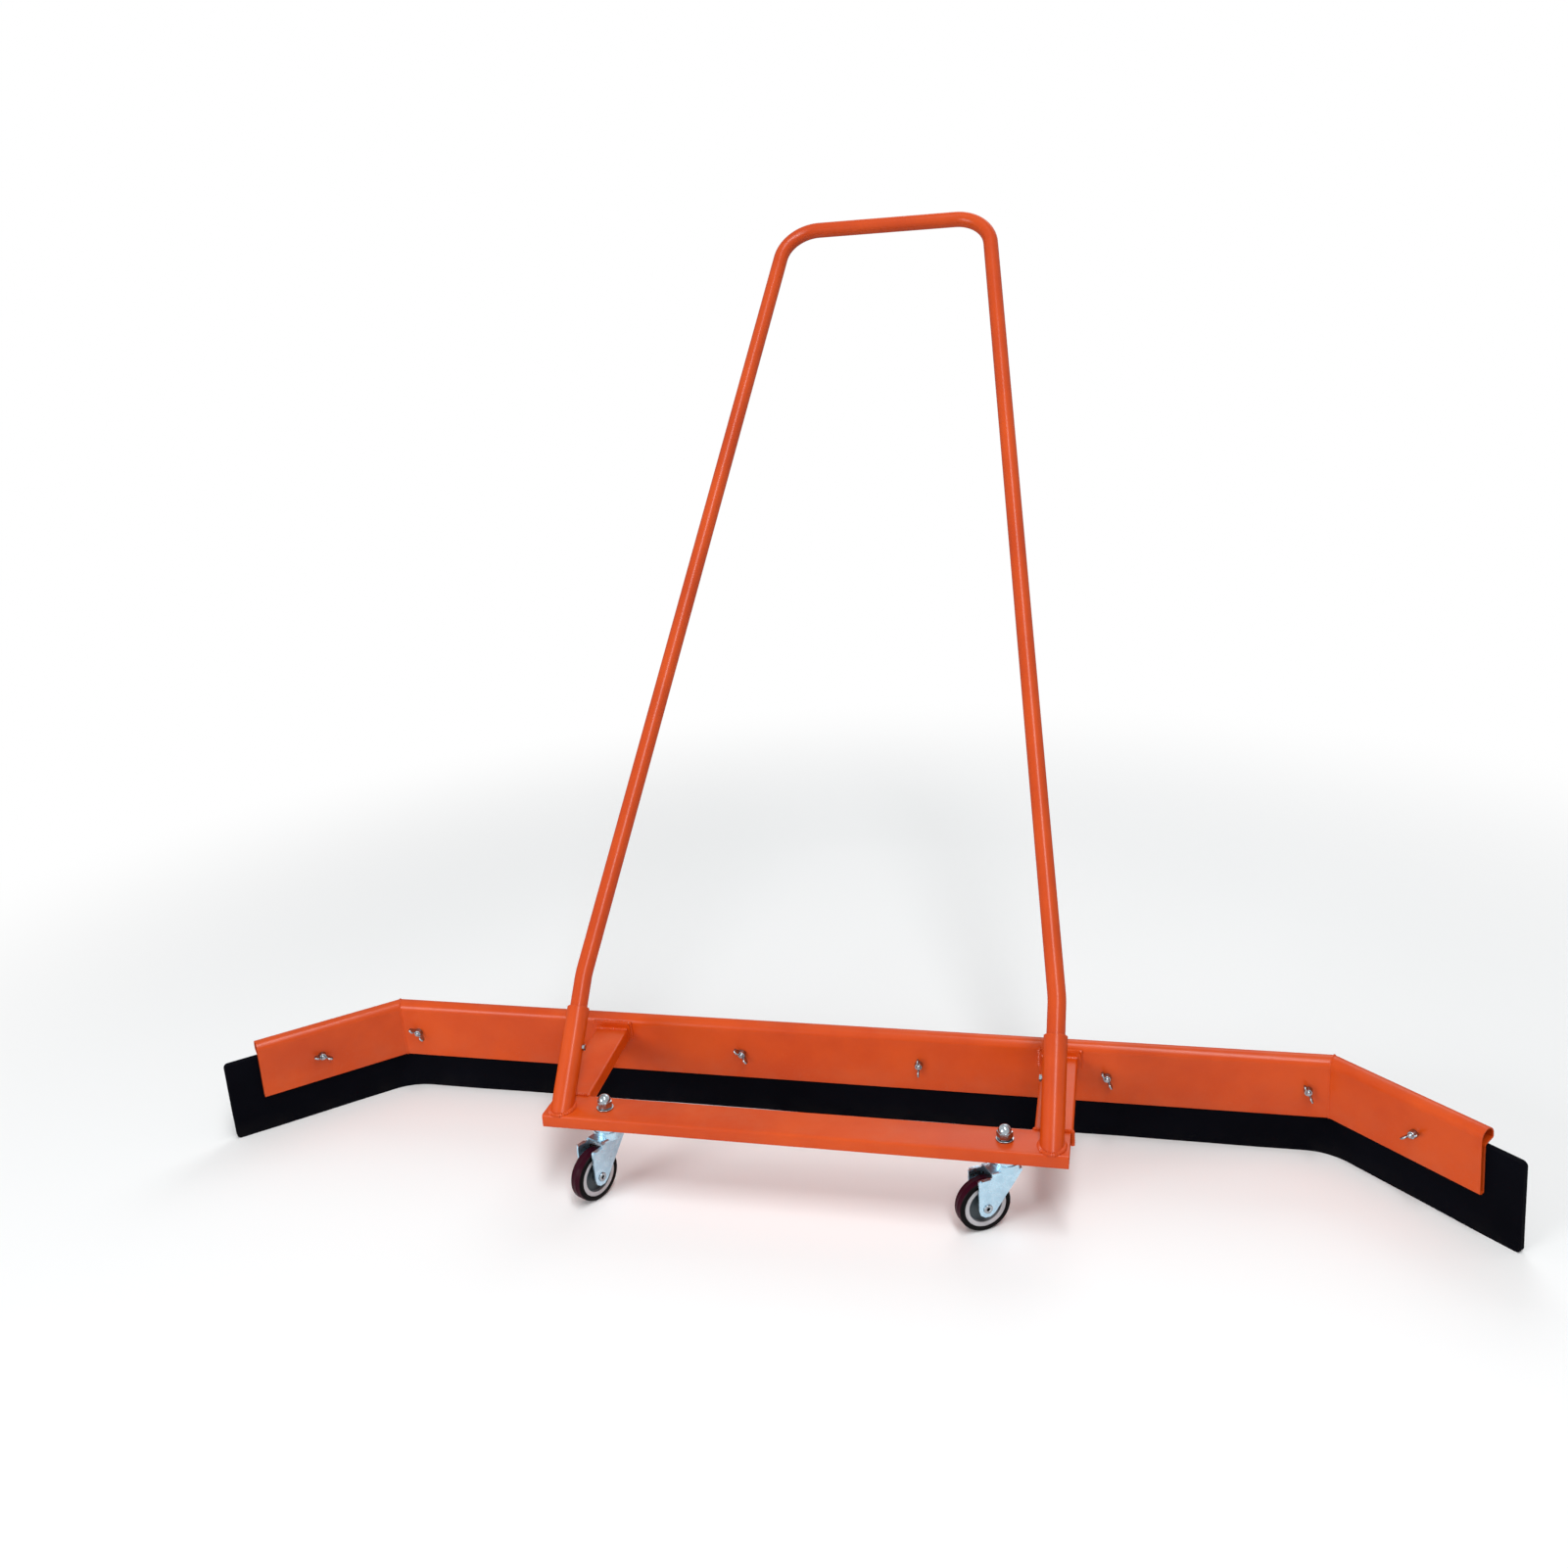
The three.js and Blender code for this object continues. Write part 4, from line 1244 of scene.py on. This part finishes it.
@dataclass
class Carriage(Assembly):
    """The cross bar and the two arms that carry the holder, with their welds."""

    bar_back: float = -202 * MM
    bar_low: float = 105 * MM
    arm_half: float = 25 * MM
    arm_rise: float = 16 * MM
    plate_half: float = 29 * MM
    plate_height: float = 29 * MM
    plate_thickness: float = 4 * MM
    edge_break: float = 0.4 * MM
    weld: WeldBead = WeldBead(radius=2.8 * MM, ripple_pitch=3.6 * MM)

    def build(self) -> None:
        """Refines the bar and arms and lays their welds."""
        self.rework("base_bar", "base_bar_tube", Look.PAINT, self.edge_break)
        for side in Side:
            node = f"{side.word}_arm"
            self.rework(node, f"{node}_channel", Look.PAINT, self.edge_break)
            for name, seam in self.seams(side.value * self.place.leg_x).items():
                bead = self.weld.along(seam).moved(self.place.packed())
                self.add(bead, f"{side.word}_{name}", Look.PAINT)

    def seams(self, x: float) -> dict[str, list[Vector]]:
        """The welded seams of one arm, in the blade's own frame."""
        left, right = x - self.arm_half, x + self.arm_half
        low, top = self.bar_low, self.place.bar_top
        around = ((left, low), (left, top), (right, top), (right, low))
        front = [Vector((across, self.bar_back, height)) for across, height in around]
        plate_front = self.place.holder_face - FIT_GAP - self.plate_thickness
        risen = top + self.arm_rise
        at_plate = self.place.depth_at(plate_front, risen)
        rear = [Vector((left, at_plate, risen)), Vector((right, at_plate, risen))]
        rake = self.place.rake
        foot_v = (low + self.arm_rise - plate_front * math.sin(rake)) / math.cos(rake)
        top_v = foot_v + self.plate_height
        outer = []
        for sign, v in ((-1, foot_v), (-1, top_v), (1, top_v), (1, foot_v)):
            spot = self.place.section(self.place.holder_face, v)
            outer.append(Vector((x + sign * self.plate_half, spot.x, spot.y)))
        return {"bar_weld": front, "arm_weld": rear, "plate_weld": outer}


@dataclass
class Handle(Assembly):
    """The bent tube handle, its two sleeves and the bolts that lock it."""

    lean: float = math.radians(40)
    foot_y: float = -240 * MM
    tube_radius: float = 12.5 * MM
    tube_wall: float = 1.2 * MM
    tube_end: float = 20 * MM
    knee: float = 195 * MM
    slope_length: float = 1565 * MM
    top_half: float = 179 * MM
    knee_radius: float = 150 * MM
    corner_radius: float = 65 * MM
    bend_steps: int = 20
    sleeve_radius: float = 16 * MM
    sleeve_wall: float = 3 * MM
    sleeve_length: float = 145 * MM
    bolt_place: float = 87 * MM
    bolt_radius: float = 2.5 * MM
    bolt_past_wall: float = 4 * MM
    head_width: float = 8 * MM
    head_height: float = 3.5 * MM
    sides: int = 56
    weld: WeldBead = WeldBead(radius=3.2 * MM, ripple_pitch=3.2 * MM)

    def leaning(self, x: float) -> Matrix:
        """Leans a body made about +Z backwards and stands it on the cross bar."""
        foot = Matrix.Translation((x, self.foot_y, self.place.bar_top))
        return self.place.packed() @ foot @ Matrix.Rotation(-self.lean, 4, "X")

    def centre_line(self) -> list[Vector]:
        """The tube's centre line in its own plane, from one end to the other."""
        right = [
            (self.top_half, self.slope_length, self.corner_radius),
            (self.place.leg_x, self.knee, self.knee_radius),
            (self.place.leg_x, self.tube_end, 0.0),
        ]
        left = [(-x, y, radius) for x, y, radius in reversed(right)]
        return [Vector((p.x, 0.0, p.y)) for p in round_outline(left + right, self.bend_steps)]

    def build_tube(self) -> None:
        """Makes the bent tube, with its inside open at both ends."""
        line = self.centre_line()
        outer, inner = (
            rings_along(line, [radius] * len(line), self.sides, False)
            for radius in (self.tube_radius, self.tube_radius - self.tube_wall)
        )
        shell = skin(outer + inner[::-1], closed=True)
        self.add(shell.moved(self.leaning(0)), "handle_tube", Look.PAINT, "handle")

    def build_sleeve(self, side: Side) -> None:
        """Makes one sleeve, cut level where it stands on the bar, and the weld round its foot."""
        ease = 0.6 * MM
        inside = self.sleeve_radius - self.sleeve_wall
        rise = math.tan(self.lean)
        level = FIT_GAP / math.cos(self.lean)
        rings = []
        foot = []
        for turn in full_turn(self.sides):
            ring = []
            for radius, top in (
                (self.sleeve_radius, None),
                (self.sleeve_radius, self.sleeve_length - ease),
                (self.sleeve_radius - ease, self.sleeve_length),
                (inside + ease, self.sleeve_length),
                (inside, self.sleeve_length - ease),
                (inside, None),
            ):
                height = level + radius * math.sin(turn) * rise if top is None else top
                ring.append(Vector((radius * math.cos(turn), radius * math.sin(turn), height)))
            rings.append(ring)
            foot.append(ring[0])
        matrix = self.leaning(side.value * self.place.leg_x)
        node = f"{side.word}_sleeve"
        self.add(skin(rings, closed=True).moved(matrix), f"{node}_tube", Look.PAINT, node)
        bead = self.weld.along(foot, closed=True).moved(matrix)
        self.add(bead, f"{side.word}_foot_weld", Look.PAINT)

    def build_lock(self, side: Side, clamps: Clamps) -> None:
        """Makes one short lock bolt; its head is on the inner side of the leg."""
        seat = self.sleeve_radius + FIT_GAP
        tip = self.tube_radius - self.tube_wall - self.bolt_past_wall
        head = hexagon_body(self.head_width, seat, seat + self.head_height)
        shank = clamps.threaded_rod(self.bolt_radius, -seat - self.head_height / 2, -tip)
        bolt = head + shank.moved(Matrix.Rotation(math.pi, 4, "X"))
        inwards = Matrix.Rotation(-side.value * math.pi / 2, 4, "Y")
        up = Matrix.Translation((0, 0, self.bolt_place))
        matrix = self.leaning(side.value * self.place.leg_x) @ up @ inwards
        self.fasten(bolt.moved(matrix), f"{side.word}_lock_bolt")


@dataclass
class Caster(Assembly):
    """One swivel caster, from its domed nut to its tyre."""

    side: Side
    turn: float
    spread_half: float = 280 * MM
    stem_y: float = -232 * MM
    trail: float = 34 * MM
    wheel_radius: float = 37.5 * MM
    tyre_width: float = 20 * MM
    tyre_thickness: float = 7 * MM
    shoulder_radius: float = 3.5 * MM
    rim_width: float = 18 * MM
    rim_thickness: float = 6.5 * MM
    web_thickness: float = 6 * MM
    hub_radius: float = 9 * MM
    hub_half: float = 13 * MM
    axle_radius: float = 4 * MM
    axle_bore: float = 2.4 * MM
    axle_head_radius: float = 6.5 * MM
    axle_head_height: float = 1.6 * MM
    cheek_face: float = 16.3 * MM
    stem_radius: float = 6 * MM
    race_radius: float = 20.5 * MM
    race_low: float = 101.2 * MM
    race_top: float = 104.7 * MM
    washer_low: float = 125.3 * MM
    washer_radius: float = 12 * MM
    washer_thickness: float = 2 * MM
    nut_low: float = 127.6 * MM
    nut_width: float = 19 * MM
    nut_hex: float = 10 * MM
    dome_radius: float = 9.2 * MM
    stem_edge: float = 0.3 * MM
    fork_edge: float = 0.4 * MM
    sides: int = 72

    def stem(self) -> Matrix:
        """The stem's foot on the ground."""
        at = Matrix.Translation((self.side.value * self.spread_half, self.stem_y, 0))
        return self.place.packed() @ at

    def axle(self) -> Matrix:
        """The axle, with its own Z along it."""
        swung = self.stem() @ Matrix.Rotation(math.radians(self.turn), 4, "Z")
        out = Matrix.Translation((self.trail, 0, self.wheel_radius))
        return swung @ out @ Matrix.Rotation(math.pi / 2, 4, "X")

    def tyre(self) -> Shell:
        """The tyre, with round shoulders and a mould line round its middle."""
        half, shoulder = self.tyre_width / 2, self.shoulder_radius
        inner, outer = self.wheel_radius - self.tyre_thickness, self.wheel_radius
        line, rise, ease = 0.25 * MM, 0.15 * MM, 0.6 * MM
        corners = [
            (inner, -half, ease),
            (outer, -half, shoulder),
            (outer, half, shoulder),
            (inner, half, ease),
        ]
        profile = []
        for p in round_outline(corners, steps=8):
            profile.append(p)
            if p.x > outer - line and p.y < 0 and abs(p.y + half - shoulder) < line:
                profile += [Vector((outer, -line)), Vector((outer + rise, 0)), Vector((outer, line))]
        return lathe(profile, sides=128)

    def wheel_centre(self) -> Shell:
        """Rim, web and hub, with eased corners."""
        rim_out = self.wheel_radius - self.tyre_thickness - FIT_GAP
        rim_in = rim_out - self.rim_thickness
        rim, web, hub = self.rim_width / 2, self.web_thickness / 2, self.hub_half
        bore = self.axle_radius + FIT_GAP
        ease = 0.8 * MM
        upper = [
            (rim_out, rim, ease / 2),
            (rim_in, rim, ease),
            (rim_in, web, 2 * ease),
            (self.hub_radius, web, 2 * ease),
            (self.hub_radius, hub, ease),
            (bore, hub, ease / 2),
        ]
        return turned_pair(upper, steps=4, sides=96)

    def axle_rivet(self) -> Shell:
        """A hollow rivet whose heads are rolled over both cheeks."""
        end = self.cheek_face + self.axle_head_height
        upper = [
            (self.axle_radius, self.cheek_face, 0.0),
            (self.axle_head_radius, self.cheek_face, 0.5 * MM),
            (self.axle_head_radius, end, 1.0 * MM),
            (self.axle_bore, end, 1.2 * MM),
        ]
        return turned_pair(upper, steps=5, sides=40)

    def race(self) -> Shell:
        """The upper ball race: a dished ring with a groove above its rolled rim."""
        bore = self.stem_radius + FIT_GAP
        low, top, outer = self.race_low, self.race_top, self.race_radius
        lip, groove, ease = 1.0 * MM, 0.7 * MM, 0.5 * MM
        corners = [
            (bore, low, 0.0),
            (outer - lip, low, ease),
            (outer, low + lip, ease),
            (outer, low + 2 * lip, 0.2 * MM),
            (outer - groove, low + 2.3 * MM, 0.1 * MM),
            (outer - groove, top, 0.3 * MM),
            (bore, top, 0.0),
        ]
        return lathe(round_outline(corners, steps=3), self.sides)

    def dome_nut(self) -> Shell:
        """A hexagon nut closed by a dome, on a turned washer face."""
        hexagon = hexagon_body(self.nut_width, 0.4 * MM, self.nut_hex)
        steps = 14
        dome = [Vector((0, 0)), Vector((self.dome_radius, 0)), Vector((self.dome_radius, self.nut_hex))]
        for k in range(1, steps + 1):
            rise = math.pi / 2 * k / steps
            dome.append(Vector((
                self.dome_radius * math.cos(rise),
                self.nut_hex + self.dome_radius * math.sin(rise),
            )))
        return (hexagon + lathe(dome, sides=48)).moved(Matrix.Translation((0, 0, self.nut_low)))

    def mark(self, piece: bpy.types.Object) -> bpy.types.Object:
        """Writes each point's distance from the axle and along it, for the finishes to read."""
        local = self.axle().inverted()
        spots = [local @ vertex.co for vertex in piece.data.vertices]
        for name, values in (
            ("axle_distance", [math.hypot(p.x, p.y) for p in spots]),
            ("axle_offset", [p.z for p in spots]),
        ):
            piece.data.attributes.new(name, "FLOAT", "POINT").data.foreach_set("value", values)
        return piece

    def build(self) -> None:
        """Makes every piece of the caster."""
        word = self.side.word
        swivel, wheel = Body.SWIVEL.on(self.side), Body.WHEEL.on(self.side)
        bore = self.stem_radius + FIT_GAP
        washer_top = self.washer_low + self.washer_thickness
        shells = {
            "caster_race": self.race(),
            "caster_washer": washer_ring(bore, self.washer_radius, self.washer_low, washer_top, self.sides),
            "dome_nut": self.dome_nut(),
        }
        for part, shell in shells.items():
            self.fasten(shell.moved(self.stem()), f"{word}_{part}")
        self.rework(f"{word}_caster_stem", f"{word}_stem_rod", Look.FASTENER_ZINC, self.stem_edge)
        self.rework(f"{word}_fork", f"{word}_fork_pressing", Look.PRESSED_ZINC, self.fork_edge, swivel)
        rivet = self.axle_rivet().moved(self.axle())
        self.add(rivet, f"{word}_axle_rivet", Look.FASTENER_ZINC, f"{word}_axle", body=swivel)
        for name, shell, look, node in (
            ("wheel_moulding", self.wheel_centre(), Look.WHEEL, "wheel_centre"),
            ("tread", self.tyre(), Look.TYRE, "tyre"),
        ):
            piece = self.mark(shell.moved(self.axle()).piece(f"{word}_{name}"))
            self.bench.fit(piece, look, wheel, f"{word}_{node}")


@dataclass(frozen=True)
class Lamp:
    """A soft lamp: where it hangs, its width and length, and its power in watts."""

    name: str
    place: tuple[float, float, float]
    size: tuple[float, float]
    power: float


@dataclass
class Studio:
    """A pale floor, soft lamps and a camera that stands where the picture was taken."""

    camera_place: tuple[float, float, float] = (0.425, -2.076, 1.145)
    yaw: float = math.radians(-14.51)
    pitch: float = math.radians(17.81)
    roll: float = math.radians(-3.51)
    focal_share: float = 1415.0 / 1601
    sensor: float = 36.0
    world_strength: float = 0.36
    floor_half: float = 30.0
    floor_near: float = 0.95
    floor_far: float = 2.3
    floor_colour: Colour = (0.94, 0.955, 0.96, 1.0)
    floor_roughness: float = 0.9
    floor_specular: float = 0.1
    lamp_aim: tuple[float, float, float] = (0.0, 0.0, 0.45)
    lamps: tuple[Lamp, ...] = (
        Lamp("overhead_softbox", (0.8, -1.75, 3.55), (0.55, 3.4), 86.0),
        Lamp("front_softbox", (-2.6, -3.6, 1.5), (1.8, 1.8), 78.0),
        Lamp("back_softbox", (0.6, 3.2, 3.0), (2.4, 2.4), 40.0),
    )

    def build(self) -> None:
        """Makes the camera, the lamps, the world and the floor."""
        self.build_camera()
        for lamp in self.lamps:
            self.build_lamp(lamp)
        self.build_world()
        self.build_floor()
        bpy.context.scene.view_settings.view_transform = "Standard"

    def build_camera(self) -> None:
        """Stands the camera at the picture's angle."""
        forward = Vector((
            math.sin(self.yaw) * math.cos(self.pitch),
            math.cos(self.yaw) * math.cos(self.pitch),
            -math.sin(self.pitch),
        ))
        level = Vector((math.cos(self.yaw), -math.sin(self.yaw), 0.0))
        above = level.cross(forward)
        right = level * math.cos(self.roll) + above * math.sin(self.roll)
        up = above * math.cos(self.roll) - level * math.sin(self.roll)
        turned = Matrix((right, up, -forward)).transposed().to_4x4()
        data = bpy.data.cameras.new("picture_camera")
        data.sensor_width = self.sensor
        data.lens = self.sensor * self.focal_share
        camera = bpy.data.objects.new("picture_camera", data)
        camera.matrix_world = Matrix.Translation(self.camera_place) @ turned
        bpy.context.scene.collection.objects.link(camera)
        bpy.context.scene.camera = camera

    def build_lamp(self, lamp: Lamp) -> None:
        """Hangs one soft lamp that faces the squeegee."""
        data = bpy.data.lights.new(lamp.name, "AREA")
        data.shape = "RECTANGLE"
        data.size, data.size_y = lamp.size
        data.energy = lamp.power
        hung = bpy.data.objects.new(lamp.name, data)
        aim = Vector(self.lamp_aim) - Vector(lamp.place)
        hung.matrix_world = Matrix.Translation(lamp.place) @ aim.to_track_quat("-Z", "Y").to_matrix().to_4x4()
        bpy.context.scene.collection.objects.link(hung)

    def seen(self, wiring: Wiring) -> Socket:
        """1 for rays from the camera and for what metal and glass show, otherwise 0."""
        path = wiring.node("ShaderNodeLightPath")
        seen = wiring.math("MAXIMUM", path.outputs["Is Camera Ray"], path.outputs["Is Glossy Ray"])
        return wiring.math("MAXIMUM", seen, path.outputs["Is Transmission Ray"])

    def build_world(self) -> None:
        """Makes a white surround that lights the squeegee at a plain level."""
        world = bpy.data.worlds.new("studio_surround")
        world.use_nodes = True
        bpy.context.scene.world = world
        wiring = Wiring(world.node_tree)
        strength = wiring.ramp(self.seen(wiring), 0.0, 1.0, self.world_strength, 1.0)
        background = world.node_tree.nodes["Background"]
        background.inputs["Color"].default_value = (1.0, 1.0, 1.0, 1.0)
        wiring.feed(background.inputs["Strength"], strength)

    def build_floor(self) -> None:
        """Lays a pale floor that keeps the shadow and fades to the white surround."""
        half = self.floor_half
        corners = [Vector((x * half, y * half, 0.0)) for x, y in ((-1, -1), (1, -1), (1, 1), (-1, 1))]
        floor = Shell(corners, [(0, 1, 2, 3)]).piece("studio_floor")
        material = bpy.data.materials.new("studio_floor_finish")
        material.use_nodes = True
        wiring = Wiring(material.node_tree)
        shader = material.node_tree.nodes["Principled BSDF"]
        shader.inputs["Base Color"].default_value = self.floor_colour
        shader.inputs["Roughness"].default_value = self.floor_roughness
        shader.inputs["Specular IOR Level"].default_value = self.floor_specular
        length = wiring.node("ShaderNodeVectorMath", {0: wiring.places()}, operation="LENGTH")
        away = wiring.ramp(length.outputs["Value"], self.floor_near, self.floor_far)
        white = wiring.node("ShaderNodeEmission", {"Strength": self.seen(wiring)})
        mixed = wiring.node("ShaderNodeMixShader", {0: away, 1: shader.outputs[0], 2: white.outputs[0]})
        wiring.feed(material.node_tree.nodes["Material Output"].inputs["Surface"], mixed.outputs[0])
        floor.data.materials.append(material)


def main() -> None:
    """Builds the studio and every sub-assembly."""
    logging.basicConfig(level=logging.INFO, format="%(name)s: %(message)s")
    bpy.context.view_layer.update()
    Studio().build()
    place = BladePlace()
    bench = Bench()
    clamps = Clamps(place, bench)
    handle = Handle(place, bench)
    steps: list[Callable[[], None]] = [
        Holder(place, bench).build,
        RubberBlade(place, bench).build,
        clamps.build,
        Carriage(place, bench).build,
        handle.build_tube,
        Caster(place, bench, Side.LEFT, turn=246.0).build,
        Caster(place, bench, Side.RIGHT, turn=213.0).build,
    ]
    for step in steps:
        step()
    for side in Side:
        handle.build_sleeve(side)
        handle.build_lock(side, clamps)


if __name__ == "__main__":
    main()
